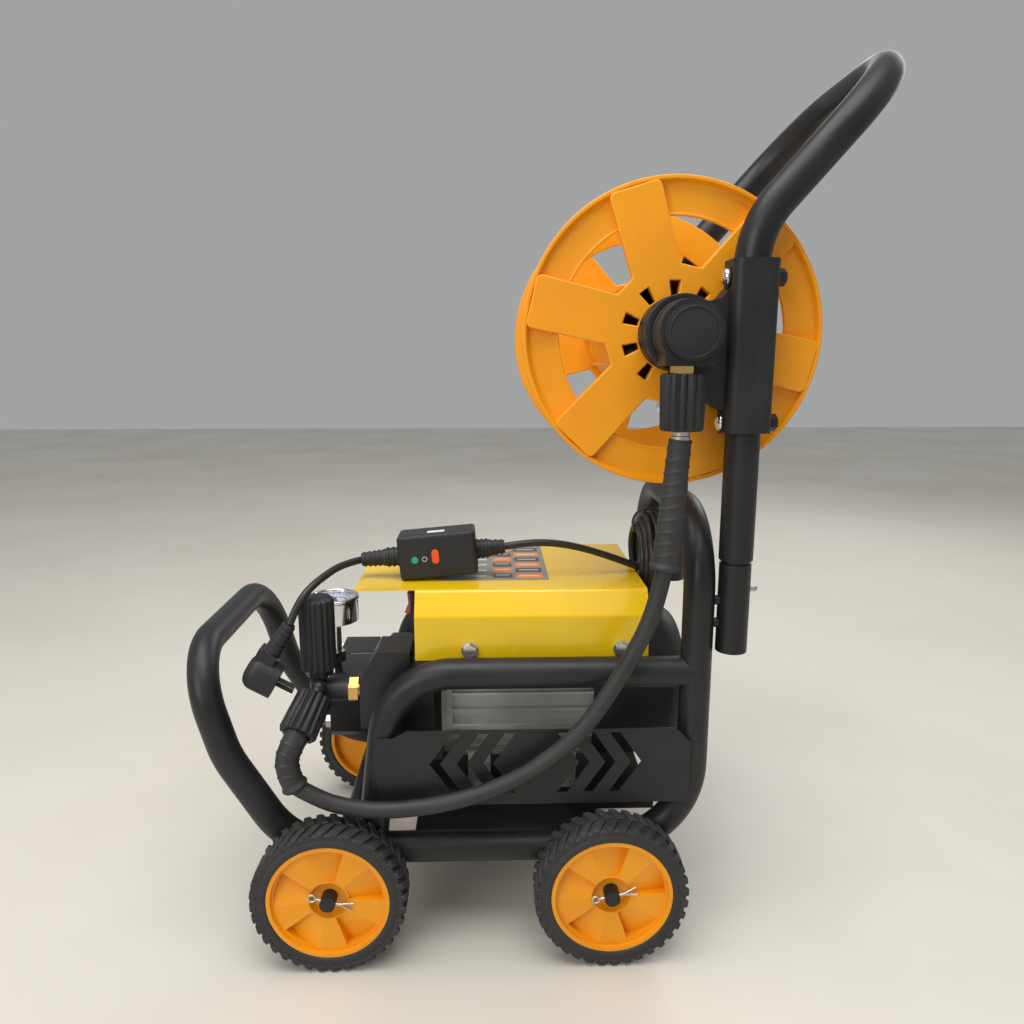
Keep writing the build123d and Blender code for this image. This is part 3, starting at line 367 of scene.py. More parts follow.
def grown(thing, tree, **values):
    """Runs a geometry tree on a piece and keeps the result as its plain mesh."""
    growth = thing.modifiers.new("growth", "NODES")
    growth.node_group = tree
    for item in tree.interface.items_tree:
        if item.in_out == "INPUT" and item.name in values:
            growth[item.identifier] = values[item.name]
    result = plain_mesh(thing)
    shade(result)
    return result


round_copies = ring_tree()

# ---- shared surface effects ----


def effect(name, inputs, outputs):
    tree = bpy.data.node_groups.new(name, "ShaderNodeTree")
    for label, kind, value in inputs:
        socket = tree.interface.new_socket(label, in_out="INPUT", socket_type=f"NodeSocket{kind}")
        socket.default_value = value
    for label, kind in outputs:
        tree.interface.new_socket(label, in_out="OUTPUT", socket_type=f"NodeSocket{kind}")
    return tree, tree.nodes.new("NodeGroupInput"), tree.nodes.new("NodeGroupOutput")


def noise(tree, vector, scale, detail=3.0, roughness=0.5):
    node = tree.nodes.new("ShaderNodeTexNoise")
    tree.links.new(vector, node.inputs["Vector"])
    if isinstance(scale, float):
        node.inputs["Scale"].default_value = scale
    else:
        tree.links.new(scale, node.inputs["Scale"])
    node.inputs["Detail"].default_value = detail
    node.inputs["Roughness"].default_value = roughness
    return node.outputs["Fac"]


def ramp(tree, value, low, high, first=0.0, last=1.0):
    """Spreads the stretch from low to high over first to last. Each end is a number or a socket."""
    node = tree.nodes.new("ShaderNodeMapRange")
    tree.links.new(value, node.inputs["Value"])
    for label, given in (("From Min", low), ("From Max", high), ("To Min", first), ("To Max", last)):
        if isinstance(given, (int, float)):
            node.inputs[label].default_value = given
        else:
            tree.links.new(given, node.inputs[label])
    return node.outputs["Result"]


def times(tree, first, second):
    node = tree.nodes.new("ShaderNodeMath")
    node.operation = "MULTIPLY"
    tree.links.new(first, node.inputs[0])
    tree.links.new(second, node.inputs[1])
    return node.outputs[0]


def mixed(tree, factor, first, second):
    node = tree.nodes.new("ShaderNodeMix")
    node.data_type = "RGBA"
    tree.links.new(factor, node.inputs["Factor"])
    tree.links.new(first, node.inputs["A"])
    tree.links.new(second, node.inputs["B"])
    return node.outputs["Result"]


def object_place(tree):
    return tree.nodes.new("ShaderNodeTexCoord").outputs["Object"]


def grain_effect():
    """Fine surface grain with slow patches of tone and gloss."""
    tree, given, result = effect("surface grain", [
        ("Colour", "Color", (0.5, 0.5, 0.5, 1)), ("Patch Colour", "Color", (0.4, 0.4, 0.4, 1)),
        ("Grain Scale", "Float", 900.0), ("Patch Scale", "Float", 14.0),
        ("Low Roughness", "Float", 0.3), ("High Roughness", "Float", 0.5),
    ], [("Colour", "Color"), ("Roughness", "Float"), ("Height", "Float")])
    place = object_place(tree)
    fine = noise(tree, place, given.outputs["Grain Scale"], 2.0)
    patch = noise(tree, place, given.outputs["Patch Scale"], 4.0)
    spread = ramp(tree, patch, 0.35, 0.65)
    tone = mixed(tree, spread, given.outputs["Colour"], given.outputs["Patch Colour"])
    gloss = ramp(tree, spread, 0.0, 1.0, given.outputs["Low Roughness"], given.outputs["High Roughness"])
    tree.links.new(tone, result.inputs["Colour"])
    tree.links.new(gloss, result.inputs["Roughness"])
    tree.links.new(fine, result.inputs["Height"])
    return tree


def wear_effect():
    """A lighter rub along edges, broken up by noise."""
    tree, given, result = effect("edge wear", [
        ("Colour", "Color", (0.5, 0.5, 0.5, 1)), ("Worn Colour", "Color", (0.6, 0.6, 0.6, 1)),
        ("Width", "Float", 0.001), ("Amount", "Float", 0.5),
    ], [("Colour", "Color"), ("Mask", "Float")])
    soft = tree.nodes.new("ShaderNodeBevel")
    soft.samples = 4
    tree.links.new(given.outputs["Width"], soft.inputs["Radius"])
    facing = tree.nodes.new("ShaderNodeNewGeometry")
    likeness = tree.nodes.new("ShaderNodeVectorMath")
    likeness.operation = "DOT_PRODUCT"
    tree.links.new(soft.outputs[0], likeness.inputs[0])
    tree.links.new(facing.outputs["Normal"], likeness.inputs[1])
    edge = ramp(tree, likeness.outputs["Value"], 0.985, 0.86)
    breaks = ramp(tree, noise(tree, object_place(tree), 160.0, 4.0), 0.42, 0.62)
    mask = times(tree, times(tree, edge, breaks), given.outputs["Amount"])
    tree.links.new(mixed(tree, mask, given.outputs["Colour"], given.outputs["Worn Colour"]),
                   result.inputs["Colour"])
    tree.links.new(mask, result.inputs["Mask"])
    return tree


def dust_effect():
    """Pale dust where the surface looks up, thicker in patches."""
    tree, given, result = effect("dust", [
        ("Colour", "Color", (0.5, 0.5, 0.5, 1)), ("Dust Colour", "Color", (0.42, 0.38, 0.32, 1)),
        ("Amount", "Float", 0.15),
    ], [("Colour", "Color"), ("Mask", "Float")])
    facing = tree.nodes.new("ShaderNodeNewGeometry")
    split = tree.nodes.new("ShaderNodeSeparateXYZ")
    tree.links.new(facing.outputs["Normal"], split.inputs[0])
    up = ramp(tree, split.outputs["Z"], 0.1, 1.0, 0.12, 1.0)
    patches = ramp(tree, noise(tree, object_place(tree), 45.0, 5.0, 0.65), 0.45, 0.75)
    mask = times(tree, times(tree, up, patches), given.outputs["Amount"])
    tree.links.new(mixed(tree, mask, given.outputs["Colour"], given.outputs["Dust Colour"]),
                   result.inputs["Colour"])
    tree.links.new(mask, result.inputs["Mask"])
    return tree


grain_group = grain_effect()
wear_group = wear_effect()
dust_group = dust_effect()


def rgba(colour):
    return (*colour, 1.0)


def finish(name, colour, patch, rough, grain, bump, worn=None, wear=0.0, dust=0.0, metallic=0.0,
           patch_scale=14.0, wear_width=0.0012, **sockets):
    """One finish: grain, then worn edges, then dust, on one Principled shader."""
    material = bpy.data.materials.new(name)
    material.use_nodes = True
    tree = material.node_tree
    shader = tree.nodes["Principled BSDF"]
    skin = tree.nodes.new("ShaderNodeGroup")
    skin.node_tree = grain_group
    skin.inputs["Colour"].default_value = rgba(colour)
    skin.inputs["Patch Colour"].default_value = rgba(patch)
    skin.inputs["Grain Scale"].default_value = grain
    skin.inputs["Patch Scale"].default_value = patch_scale
    skin.inputs["Low Roughness"].default_value = rough[0]
    skin.inputs["High Roughness"].default_value = rough[1]
    tone = skin.outputs["Colour"]
    if wear:
        edges = tree.nodes.new("ShaderNodeGroup")
        edges.node_tree = wear_group
        edges.inputs["Worn Colour"].default_value = rgba(worn)
        edges.inputs["Width"].default_value = wear_width
        edges.inputs["Amount"].default_value = wear
        tree.links.new(tone, edges.inputs["Colour"])
        tone = edges.outputs["Colour"]
    if dust:
        cover = tree.nodes.new("ShaderNodeGroup")
        cover.node_tree = dust_group
        cover.inputs["Amount"].default_value = dust
        tree.links.new(tone, cover.inputs["Colour"])
        tone = cover.outputs["Colour"]
    tree.links.new(tone, shader.inputs["Base Color"])
    tree.links.new(skin.outputs["Roughness"], shader.inputs["Roughness"])
    relief = tree.nodes.new("ShaderNodeBump")
    relief.inputs["Strength"].default_value = 1.0
    relief.inputs["Distance"].default_value = bump * MM
    tree.links.new(skin.outputs["Height"], relief.inputs["Height"])
    tree.links.new(relief.outputs[0], shader.inputs["Normal"])
    shader.inputs["Metallic"].default_value = metallic
    for label, value in sockets.items():
        shader.inputs[label.replace("_", " ")].default_value = value
    return material


frame_black = finish("frame_black", (0.012, 0.012, 0.013), (0.02, 0.02, 0.021), (0.34, 0.46), 1400.0, 0.05,
                     (0.12, 0.12, 0.12), 0.25, 0.02, Specular_IOR_Level=0.35)
cover_yellow = finish("cover_yellow", (0.83, 0.53, 0.002), (0.8, 0.5, 0.002), (0.2, 0.3), 900.0, 0.03,
                      (0.95, 0.78, 0.2), 0.35, 0.015, Coat_Weight=0.35, Coat_Roughness=0.12)
rim_yellow = finish("rim_yellow", (0.9, 0.35, 0.002), (0.85, 0.31, 0.002), (0.36, 0.5), 1500.0, 0.07,
                    (0.98, 0.55, 0.06), 0.5, 0.03)
tyre_rubber = finish("tyre_rubber", (0.02, 0.02, 0.021), (0.034, 0.033, 0.032), (0.62, 0.8), 1100.0, 0.1,
                     (0.1, 0.1, 0.1), 0.3, 0.06)
hose_rubber = finish("hose_rubber", (0.018, 0.018, 0.019), (0.03, 0.03, 0.03), (0.5, 0.64), 1300.0, 0.08,
                     dust=0.05)
cord_rubber = finish("cord_rubber", (0.012, 0.012, 0.012), (0.018, 0.018, 0.018), (0.36, 0.46), 900.0, 0.03)
black_plastic = finish("black_plastic", (0.016, 0.016, 0.017), (0.024, 0.024, 0.025), (0.42, 0.56), 1700.0,
                       0.09, (0.09, 0.09, 0.09), 0.3, 0.02, Specular_IOR_Level=0.35)
cast_black = finish("cast_black", (0.012, 0.012, 0.013), (0.022, 0.022, 0.023), (0.3, 0.48), 420.0, 0.25,
                    (0.1, 0.1, 0.1), 0.3, 0.03, Specular_IOR_Level=0.4)
motor_aluminium = finish("motor_aluminium", (0.62, 0.62, 0.6), (0.44, 0.44, 0.42), (0.38, 0.6), 380.0, 0.35,
                         (0.8, 0.8, 0.8), 0.4, 0.08, 0.7)
brass = finish("brass", (0.78, 0.53, 0.2), (0.66, 0.42, 0.14), (0.2, 0.36), 900.0, 0.03,
               (0.9, 0.7, 0.36), 0.5, 0.0, 1.0)
zinc_steel = finish("zinc_steel", (0.68, 0.67, 0.64), (0.56, 0.55, 0.52), (0.2, 0.36), 800.0, 0.03,
                    (0.8, 0.8, 0.8), 0.3, 0.0, 1.0)
plain_steel = finish("plain_steel", (0.52, 0.52, 0.53), (0.42, 0.42, 0.43), (0.26, 0.4), 800.0, 0.03,
                     metallic=1.0)
copper_winding = finish("copper_winding", (0.5, 0.2, 0.08), (0.34, 0.12, 0.05), (0.3, 0.45), 600.0, 0.3,
                        metallic=0.8)
chrome = finish("chrome", (0.78, 0.78, 0.79), (0.7, 0.7, 0.71), (0.06, 0.14), 500.0, 0.01, metallic=1.0)
needle_black = finish("needle", (0.02, 0.02, 0.02), (0.03, 0.03, 0.03), (0.4, 0.5), 900.0, 0.01)
rocker_red = finish("rocker_red", (0.45, 0.02, 0.012), (0.36, 0.015, 0.01), (0.12, 0.2), 300.0, 0.02,
                    Coat_Weight=0.8)
test_green = finish("test_green", (0.01, 0.42, 0.24), (0.01, 0.36, 0.2), (0.3, 0.42), 900.0, 0.02)
reset_orange = finish("reset_orange", (0.85, 0.1, 0.008), (0.75, 0.08, 0.006), (0.3, 0.42), 900.0, 0.02)
dial_white = finish("dial_white", (0.8, 0.81, 0.82), (0.76, 0.77, 0.78), (0.4, 0.5), 900.0, 0.005)
dial_blue = finish("dial_blue", (0.03, 0.12, 0.42), (0.03, 0.1, 0.36), (0.4, 0.5), 900.0, 0.005)
label_grey = finish("label_grey", (0.2, 0.19, 0.17), (0.25, 0.24, 0.21), (0.3, 0.4), 900.0, 0.01)
label_orange = finish("label_orange", (0.8, 0.24, 0.02), (0.75, 0.2, 0.02), (0.3, 0.4), 900.0, 0.01)
label_dark = finish("label_dark", (0.05, 0.045, 0.04), (0.07, 0.06, 0.05), (0.3, 0.4), 900.0, 0.01)
label_pale = finish("label_pale", (0.75, 0.74, 0.7), (0.7, 0.69, 0.66), (0.3, 0.4), 900.0, 0.01)
floor_stone = finish("floor_stone", (0.72, 0.68, 0.6), (0.66, 0.62, 0.54), (0.35, 0.5), 60.0, 0.05,
                     patch_scale=2.0)


def lens_material():
    material = bpy.data.materials.new("lens")
    material.use_nodes = True
    shader = material.node_tree.nodes["Principled BSDF"]
    shader.inputs["Base Color"].default_value = (0.95, 0.97, 1.0, 1.0)
    shader.inputs["Transmission Weight"].default_value = 1.0
    shader.inputs["Roughness"].default_value = 0.02
    shader.inputs["IOR"].default_value = 1.15
    return material


lens = lens_material()
finishes = {
    "frame_black": frame_black, "cover_yellow": cover_yellow, "rim_yellow": rim_yellow,
    "tyre_rubber": tyre_rubber, "hose_rubber": hose_rubber, "cord_rubber": cord_rubber,
    "black_plastic": black_plastic, "cast_black": cast_black, "motor_aluminium": motor_aluminium,
    "brass": brass, "zinc_steel": zinc_steel, "plain_steel": plain_steel, "copper_winding": copper_winding,
    "chrome": chrome, "lens": lens, "needle": needle_black, "rocker_red": rocker_red,
    "test_green": test_green, "reset_orange": reset_orange,
}
for subpart in frame["record"]["subparts"]:
    node = frame["nodes"][subpart["node"]]
    for slot in node.material_slots:
        slot.material = finishes[subpart["material_slot"]]


def keep(piece, body, slot, *nodes):
    """A finished piece: the body that it rides on, its finish in the record, which is not used, and the
    nodes it stands for.
    """
    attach(piece, body)
    if nodes:
        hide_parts(*nodes)
    return piece


# ---- shapes used by several pieces ----


def spun(name, profile, place, axis, material, x_dir=(1, 0, 0), smooth_angle=35.0, **shaping):
    """A piece turned about an axis that starts at a place, from a closed (radius, height) outline."""
    shape = scaled(lathe(bmesh.new(), profile, **shaping))
    return put(from_bmesh(name, shape, material, smooth_angle), frame_matrix(at(*place), axis, x_dir))


def band(name, inner, outer, low, high, place, axis, material, x_dir=(1, 0, 0), edge=0.8, steps=64):
    outline = rounded([(inner, low), (outer, low), (outer, high), (inner, high)], edge, 3)
    return spun(name, outline, place, axis, material, x_dir, steps=steps)


def ribbed(length, first, last, count, height, inner):
    """Outline of a tapering sleeve with ribs."""
    outline = [(inner, 0.0)]
    pitch = length / count
    for rib in range(count):
        for share, lift in ((0.05, 0), (0.16, height), (0.58, height), (0.7, 0)):
            z = (rib + share) * pitch
            outline.append((first + (last - first) * z / length + lift, z))
    return outline + [(last, length), (inner, length)]


def bar_mesh(name, size, bevel, material, shear=0.0):
    """A small block about its own zero, in millimetres, leaning along Y by the shear, with rounded edges."""
    shape = bmesh.new()
    bmesh.ops.create_cube(shape, size=1.0)
    for vert in shape.verts:
        x, y, z = (share * full for share, full in zip(vert.co, size))
        vert.co = (x, y + shear * z, z)
    bmesh.ops.bevel(shape, geom=shape.edges[:], offset=bevel, segments=1, affect="EDGES")
    return from_bmesh(name, scaled(shape), material)


# ---- tyres ----

wheel_base = 290.0
wheel_outer = 192.0
tyre_width = 38.0
tyre_radius = 80.0
carcass_radius = 76.8
tread_lugs = 36
side_marks = 90


def tyre_outline():
    seat, low, high = 62.6, -tyre_width, 0.0
    return [
        (seat, high - 2), (seat + 1.4, high - 0.4), (66, high), (70.4, high - 0.6), (71, high - 1.1),
        (75.6, high - 1.1), (76.4, high - 2.4), (carcass_radius, high - 4.5), (carcass_radius, low + 4.5),
        (76.4, low + 2.4), (75.6, low + 1.1), (71, low + 1.1), (70.4, low + 0.6), (66, low),
        (seat + 1.4, low + 0.4), (seat, low + 2),
    ]


def lug_row(middle, lean, start):
    """One row of tread blocks, slanted across the tread."""
    lug = bar_mesh("lug", (5.4, 8.2, 15.4), 0.7, tyre_rubber, lean)
    lug = put(lug, Matrix.Translation((0, 0, middle * MM)))
    radius = (tyre_radius - 3.0) * MM
    values = {"Count": tread_lugs, "Radius": radius, "Start Angle": start, "Material": tyre_rubber}
    return grown(lug, round_copies, **values)


def shoulder_row(face, start):
    """Small blocks that carry the tread over the tyre's shoulder."""
    lug = bar_mesh("shoulder", (6.4, 6.6, 5.2), 0.7, tyre_rubber)
    lug = put(lug, Matrix.Translation((0, 0, face * MM)))
    values = {"Count": tread_lugs, "Radius": 75.7 * MM, "Start Angle": start, "Material": tyre_rubber}
    return grown(lug, round_copies, **values)


def side_row(face):
    """Fine marks round the side wall."""
    mark = bar_mesh("mark", (3.8, 0.9, 0.5), 0.12, tyre_rubber, 0.0)
    mark = put(mark, Matrix.Translation((0, 0, face * MM)))
    values = {"Count": side_marks, "Radius": 73.2 * MM, "Start Angle": 0.0, "Material": tyre_rubber}
    return grown(mark, round_copies, **values)


def tyre_mesh():
    half_step = pi / tread_lugs
    carcass = from_bmesh("carcass", scaled(lathe(bmesh.new(), tyre_outline(), 96)), tyre_rubber)
    rows = [
        lug_row(-10.6, 0.5, 0.0), lug_row(-27.4, -0.5, half_step),
        shoulder_row(-3.0, 0.055), shoulder_row(3.0 - tyre_width, half_step + 0.055), side_row(-1.15),
    ]
    return joined("tyre", [carcass, *rows])


first_tyre = tyre_mesh()
for end, x in (("front", -wheel_base / 2), ("rear", wheel_base / 2)):
    for name, side in (("near", -1), ("far", 1)):
        label = f"{end}_{name}"
        moulded = new_object(f"{label}_tread_tyre", first_tyre.data.copy())
        put(moulded, frame_matrix(at(x, side * wheel_outer, tyre_radius), (0, side, 0), (1, 0, 0)))
        keep(moulded, f"{label}_wheel", "tyre_rubber", f"{label}_tyre")
bpy.data.objects.remove(first_tyre)

# ---- reel flanges ----

reel_centre = Vector((204.6, 0.0, 646.0))
flange_inner_y = 96.0
flange_depth = 12.0
star_inset = 0.6
spoke_half = 23.0
spoke_end = 143.5
hub_flat = 66.0
spoke_start = 47.0


def turned_point(radius_point, angle):
    return Matrix.Rotation(radians(angle), 2) @ Vector(radius_point)


def star_outline():
    """Six spokes joined by a hub with flat sides."""
    corner = (hub_flat - spoke_half * sin(radians(30))) / cos(radians(30))
    outline = []
    for spoke in range(6):
        angle = spoke_start + 60 * spoke
        for spot in ((corner, -spoke_half), (spoke_end, -spoke_half - 2), (spoke_end, spoke_half + 2),
                     (corner, spoke_half)):
            outline.append(turned_point(spot, angle))
    return rounded(outline, 4.5, 3)


def hub_holes():
    holes = []
    for hole in range(10):
        corners = [(35, -4.5), (53, -7), (53, 7), (35, 4.5)]
        holes.append(rounded([turned_point(spot, hole * 36 + 18) for spot in corners], 1.6, 2))
    return holes


def circle_outline(radius, count=72):
    return [(radius * cos(2 * pi * i / count), radius * sin(2 * pi * i / count)) for i in range(count)]


def flange(side):
    place = frame_matrix(at(reel_centre.x, side * flange_inner_y, reel_centre.z), (0, side, 0), (1, 0, 0))
    rim = rounded([
        (113, 0), (150, 0), (150, 10.5), (146, 10.5), (143.6, 5.2), (141.4, 3.4), (116, 3.4), (115, 4.6),
        (113, 4.6),
    ], 1.1, 3)
    rim = from_bmesh("rim", scaled(lathe(bmesh.new(), rim, 144)), rim_yellow)
    star_outlines = [star_outline(), circle_outline(11.1, 40), *hub_holes()]
    star = plate("star", star_outlines, flange_depth - star_inset, 1.3, rim_yellow)
    put(star, Matrix.Translation((0, 0, (flange_depth + star_inset) / 2 * MM)))
    boss = from_bmesh("boss", scaled(lathe(bmesh.new(), rounded(
        [(11.1, 11), (31, 11), (31, 13.2), (11.1, 13.2)], 0.8, 2), 64)), rim_yellow)
    return put(joined(f"flange {side}", [rim, star, boss]), place)


flanges = joined("reel_star_flanges", [flange(-1), flange(1)])
keep(flanges, "reel", "rim_yellow", "reel_flanges")

# ---- swivel, bracket bolts ----

swivel_place = (204.6, -110, 646)
outward = (0, -1, 0)
seam = joined("swivel_rings", [
    band("boss seam", 33.5, 36.9, 20, 23.5, swivel_place, outward, black_plastic),
    band("boss edge", 30.5, 36.6, 37.6, 40.4, swivel_place, outward, black_plastic),
    band("elbow step", 26.0, 31.2, 46, 50.5, swivel_place, outward, black_plastic),
    band("cap ring", 21.5, 23.4, 81.4, 83.2, swivel_place, outward, black_plastic, edge=0.5),
])
keep(seam, "frame", "black_plastic")
domes, washers, nuts = [], [], []
clamp_x = 270.6
clamp_y = 135
clamp_half = 22
clamp_bolt_z = (561, 698)
for side in (-1, 1):
    for z in clamp_bolt_z:
        head = (clamp_x - clamp_half, side * clamp_y, z)
        outline = [(0.0, 1.5), (8.6, 1.5), (8.6, 2.6), (7.9, 4.2), (6.2, 5.7), (3.6, 6.8), (0.0, 7.2)]
        domes.append(spun("dome", outline, head, (-1, 0, 0), chrome, (0, 0, 1), steps=32))
        washers.append(band("washer", 4.2, 10.8, 0.1, 2.0, head, (-1, 0, 0), black_plastic, (0, 0, 1), 0.5,
                            32))
        tail = (clamp_x + clamp_half, side * clamp_y, z)
        outline = [(0.0, 0.2), (8.4, 0.2), (8.4, 9.0), (7.4, 10.2), (0.0, 10.4)]
        nuts.append(spun("nut", outline, tail, (1, 0, 0), black_plastic, (0, 0, 1), 20.0, steps=6))
keep(joined("clamp_bolt_heads", domes), "frame", "chrome")
keep(joined("clamp_washers", washers), "frame", "black_plastic")
keep(joined("clamp_nuts", nuts), "frame", "black_plastic")

# ---- collars, knob, gauge ----

pump_outlet = Vector((-160.0, -116.6, 281.0))
outlet_axis = Vector((-0.28, -0.74, -0.61)).normalized()
collar_flutes = 14

reel_collar = spun("reel_fluted_collar", [
    (8.6, 0), (14.5, 0, 0), (19.4, 0.4), (20.6, 2.2), (21.9, 50.5), (20.4, 53, 0.6), (8.6, 53, 0),
], (201.6, -168, 556), (0, 0, 1), black_plastic, steps=168, lobes=collar_flutes, depth=2.6)
keep(reel_collar, "reel_collar", "black_plastic", "hose_collar_reel")
pump_collar = spun("pump_fluted_collar", [
    (8.6, 0, 0), (17.0, 0, 0.5), (18.4, 2), (19.9, 41.5), (18.6, 44), (13.8, 44, 0), (13.8, 31, 0),
    (8.6, 31, 0),
], tuple(pump_outlet + outlet_axis * 10), outlet_axis, black_plastic, steps=168, lobes=collar_flutes,
   depth=2.2)
keep(pump_collar, "pump_collar", "black_plastic", "hose_collar_pump")

knob = spun("regulator_fluted_knob", [
    (7.1, 0, 0), (17.2, 0, 0.3), (18.9, 1.6), (19.0, 70), (18.2, 76.5), (14.8, 79.2, 0.8), (10.5, 80, 0),
    (0.0, 80, 0), (0.0, 66.5, 0), (7.1, 66.5, 0),
], (-162, -100, 297), (0, 0, 1), black_plastic, steps=192, lobes=16, depth=1.7)
keep(knob, "pressure_knob", "black_plastic", "regulator_knob")

gauge_place = (-153, -52, 355)
dial = spun("gauge_dial", [(2.0, 0.05), (23.8, 0.05), (23.8, 0.5), (2.0, 0.5)], gauge_place, (0, 0, 1),
            dial_white, steps=64)
keep(dial, "frame", "needle")
scale_band = band("gauge_scale_band", 13.5, 15.8, 0.4, 0.75, gauge_place, (0, 0, 1), dial_blue, edge=0.1)
keep(scale_band, "frame", "needle")
tick = bar_mesh("tick", (4.2, 0.7, 0.35), 0.05, needle_black)
tick_values = {"Count": 32, "Radius": 19.6 * MM, "Start Angle": 0.0, "Material": needle_black}
ticks = grown(tick, round_copies, **tick_values)
ticks.name = "gauge_ticks"
put(ticks, Matrix.Translation(at(*gauge_place[:2], gauge_place[2] + 0.7)))
keep(ticks, "frame", "needle")
bezel = band("gauge_bezel", 23.6, 28.0, 3.4, 8.2, gauge_place, (0, 0, 1), chrome, edge=1.6, steps=80)
keep(bezel, "frame", "chrome")

# ---- hose sleeves ----


def smooth_route(points, count):
    """Evenly spread places along a smooth curve through the points, each with its direction."""
    knots = [Vector(point) for point in points]
    knots = [2 * knots[0] - knots[1], *knots, 2 * knots[-1] - knots[-2]]
    fine = []
    for a, b, c, d in zip(knots, knots[1:], knots[2:], knots[3:]):
        for step in range(24):
            t = step / 24
            fine.append(0.5 * (2 * b + (c - a) * t + (2 * a - 5 * b + 4 * c - d) * t**2
                               + (3 * b - a - 3 * c + d) * t**3))
    fine.append(knots[-2])
    lengths = [0.0]
    for first, second in zip(fine, fine[1:]):
        lengths.append(lengths[-1] + (second - first).length)
    places = []
    spot = 0
    for step in range(count + 1):
        target = lengths[-1] * step / count
        while spot < len(fine) - 2 and lengths[spot + 1] < target:
            spot += 1
        share = (target - lengths[spot]) / (lengths[spot + 1] - lengths[spot])
        along = (fine[spot + 1] - fine[spot]).normalized()
        places.append((fine[spot].lerp(fine[spot + 1], share), along, target))
    return places, lengths[-1]


def sleeve(name, points, first, last, pitch, flare, material):
    """A moulded sleeve along a route: slanted wrap ridges, and a flared rim at its end."""
    places, length = smooth_route(points, 150)
    around = 32
    shape = bmesh.new()
    across = Vector((0, 0, 1)) if abs(places[0][1].z) < 0.9 else Vector((1, 0, 0))
    loops = []
    for place, along, distance in places:
        across = (across - along * across.dot(along)).normalized()
        other = along.cross(across)
        loop = []
        for step in range(around):
            angle = 2 * pi * step / around
            phase = (distance / pitch + 0.35 * cos(angle)) % 1.0
            ridge = 0.9 * max(0.0, 1 - abs(phase - 0.5) / 0.16) if distance < length - 9 else 0.0
            rim = flare * max(0.0, 1 - abs(distance - length + 3.0) / 4.5)
            radius = first + (last - first) * distance / length + ridge + rim
            loop.append(shape.verts.new((place + (across * cos(angle) + other * sin(angle)) * radius) * MM))
        loops.append(loop)
    for here, there in zip(loops, loops[1:]):
        for i in range(around):
            j = (i + 1) % around
            shape.faces.new((here[i], here[j], there[j], there[i]))
    for loop in (loops[0], loops[-1]):
        shape.faces.new(loop)
    thing = from_bmesh(name, shape, material, 40.0)
    return put(thing, Matrix.Translation(origin))


ferrule = spun("ferrule", ribbed(38, 8.6, 8.6, 5, 0.7, 4), (201.6, -168, 575), (-0.03, 0, -1), zinc_steel,
               steps=24)
upper_route = [(200.9, -168, 548), (196.5, -168, 490), (191.2, -168, 422)]
upper_sleeve = sleeve("upper", upper_route, 10.6, 13.6, 11.5, 2.6, hose_rubber)
lower_sleeve = sleeve("lower", [
    tuple(pump_outlet + outlet_axis * 42), tuple(pump_outlet + outlet_axis * 56), (-183.6, -165, 227),
    (-181.5, -168, 210), (-176, -168, 196),
], 12.4, 11.4, 10.0, 2.2, hose_rubber)
sleeves = joined("moulded_hose_sleeves", [upper_sleeve, lower_sleeve])
keep(sleeves, "frame", "hose_rubber", "hose_sleeves")
keep(ferrule, "frame", "zinc_steel")

# ---- residual-current box and plug ----

rcd_along = Matrix.Rotation(-rcd_tilt, 3, "Y") @ Vector((1, 0, 0))
rcd_up = Matrix.Rotation(-rcd_tilt, 3, "Y") @ Vector((0, 0, 1))
reliefs = joined("lead_reliefs", [
    spun(name, outline, tuple(place), axis, black_plastic, (0, 1, 0)) for name, outline, place, axis in (
        ("left big", ribbed(17, 10.2, 9.8, 3, 1.0, 3), on_rcd(-42, 0, -1), -rcd_along),
        ("left small", ribbed(27, 8.6, 7.2, 5, 0.9, 3), on_rcd(-58, 0, -1), -rcd_along),
        ("right big", ribbed(15, 10.2, 9.8, 3, 1.0, 3), on_rcd(42, 0, -1), rcd_along),
        ("right small", ribbed(18, 8.6, 7.2, 3, 0.9, 3), on_rcd(56, 0, -1), rcd_along),
        ("plug relief", ribbed(38, 8.6, 6.0, 7, 1.0, 3), on_plug(24, 0, -3.8),
         on_plug(62, 0, -1) - on_plug(24, 0, -3.8)),
    )
])
keep(reliefs, "frame", "black_plastic")
symbol = band("rcd_symbol", 2.2, 2.8, 0, 0.25, tuple(on_rcd(-14, -21, -2)), (0, -1, 0), label_pale,
              edge=0.08)
patch = put(bar_mesh("rcd_patch", (19, 9, 0.3), 0.1, label_pale),
            frame_matrix(at(*on_rcd(0, -6, 24.6)), rcd_up, rcd_along))
marks = joined("rcd_marks", [symbol, patch])
keep(marks, "frame", "reset_orange")

# ---- label on the cover ----

cover_top = 383.05


def block_label(x, y, width, depth, lift, material):
    piece = bar_mesh("block", (width, depth, 0.16), 0.03, material)
    return put(piece, Matrix.Translation(at(x, y, cover_top + lift)))


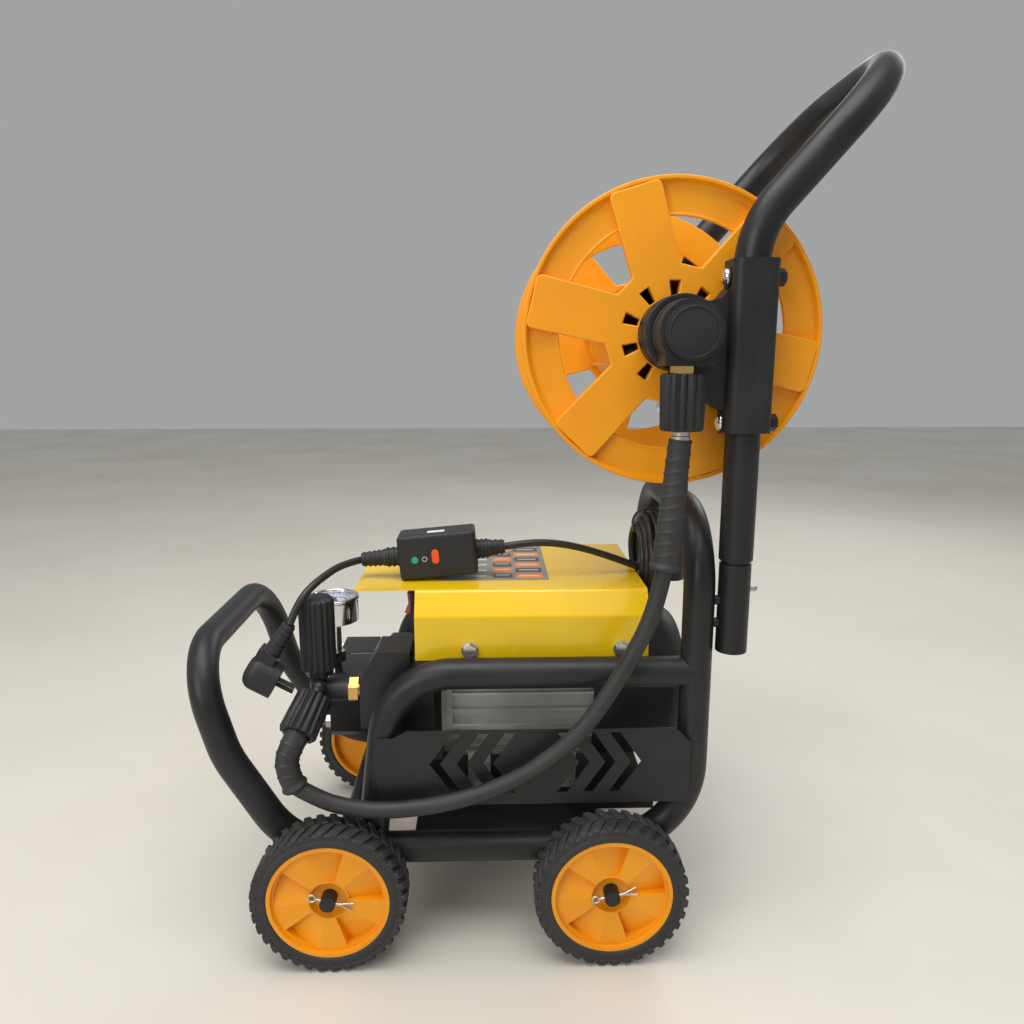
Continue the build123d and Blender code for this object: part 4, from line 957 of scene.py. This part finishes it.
label_pieces = [block_label(25, 12, 124, 158, 0.05, label_grey)]
for row in range(6):
    y = -50 + row * 24
    label_pieces.append(block_label(66, y, 30, 17, 0.2, label_dark if row % 2 else label_orange))
    label_pieces.append(block_label(36, y, 22, 17, 0.2, label_orange if row % 2 else label_dark))
    label_pieces.append(block_label(66, y, 22, 2.4, 0.3, label_pale))
    label_pieces.append(block_label(36, y + 3, 16, 2.0, 0.3, label_pale))
    label_pieces.append(block_label(8, y, 20, 4, 0.2, label_pale))
keep(joined("cover_label", label_pieces), "frame", "cover_yellow")

# ---- coil tie ----

tie = band("coil_tie", 17.2, 18.6, -4, 4, (207.5, 0, 432), (0, 1, 0), black_plastic, (0, 0, 1), 0.5, 40)
keep(tie, "frame", "black_plastic")

# ---- cords ----

link_hose = spline_curve("link_hose_flex", link_hose_points, hose_diameter, hose_rubber, 12)
keep(link_hose, "frame", "hose_rubber", "link_hose")
mains_lead = spline_curve("mains_lead", mains_lead_points, lead_diameter, cord_rubber)
keep(mains_lead, "frame", "cord_rubber", "cord_tail", "cord_hank", "cord_lead")
plug_lead = spline_curve("plug_lead", plug_lead_points, lead_diameter, cord_rubber)
keep(plug_lead, "frame", "cord_rubber", "cord_plug_lead")

# ---- stage and light ----


def floor():
    shape = bmesh.new()
    bmesh.ops.create_grid(shape, x_segments=2, y_segments=2, size=6.0)
    thing = from_bmesh("floor", shape, floor_stone)


def soft_light(name, place, aim, size, power):
    lamp = bpy.data.lights.new(name, "AREA")
    lamp.shape = "RECTANGLE"
    lamp.size, lamp.size_y = size
    lamp.energy = power
    thing = bpy.data.objects.new(name, lamp)
    thing.location = place
    thing.rotation_euler = (Vector(aim) - Vector(place)).to_track_quat("-Z", "Y").to_euler()
    bpy.context.collection.objects.link(thing)


def studio():
    soft_light("ceiling panel", (-0.3, -0.6, 2.6), (0, 0, 0.3), (2.4, 1.6), 55)
    soft_light("front panel", (-1.6, -2.2, 1.5), (0, 0, 0.4), (1.6, 1.4), 26)
    soft_light("back panel", (1.4, 1.8, 1.8), (0, 0, 0.5), (1.6, 1.2), 18)
    world = bpy.data.worlds.new("studio")
    world.use_nodes = True
    sky = world.node_tree.nodes["Background"]
    sky.inputs["Color"].default_value = (0.86, 0.88, 0.88, 1)
    sky.inputs["Strength"].default_value = 0.42
    bpy.context.scene.world = world


floor()
studio()
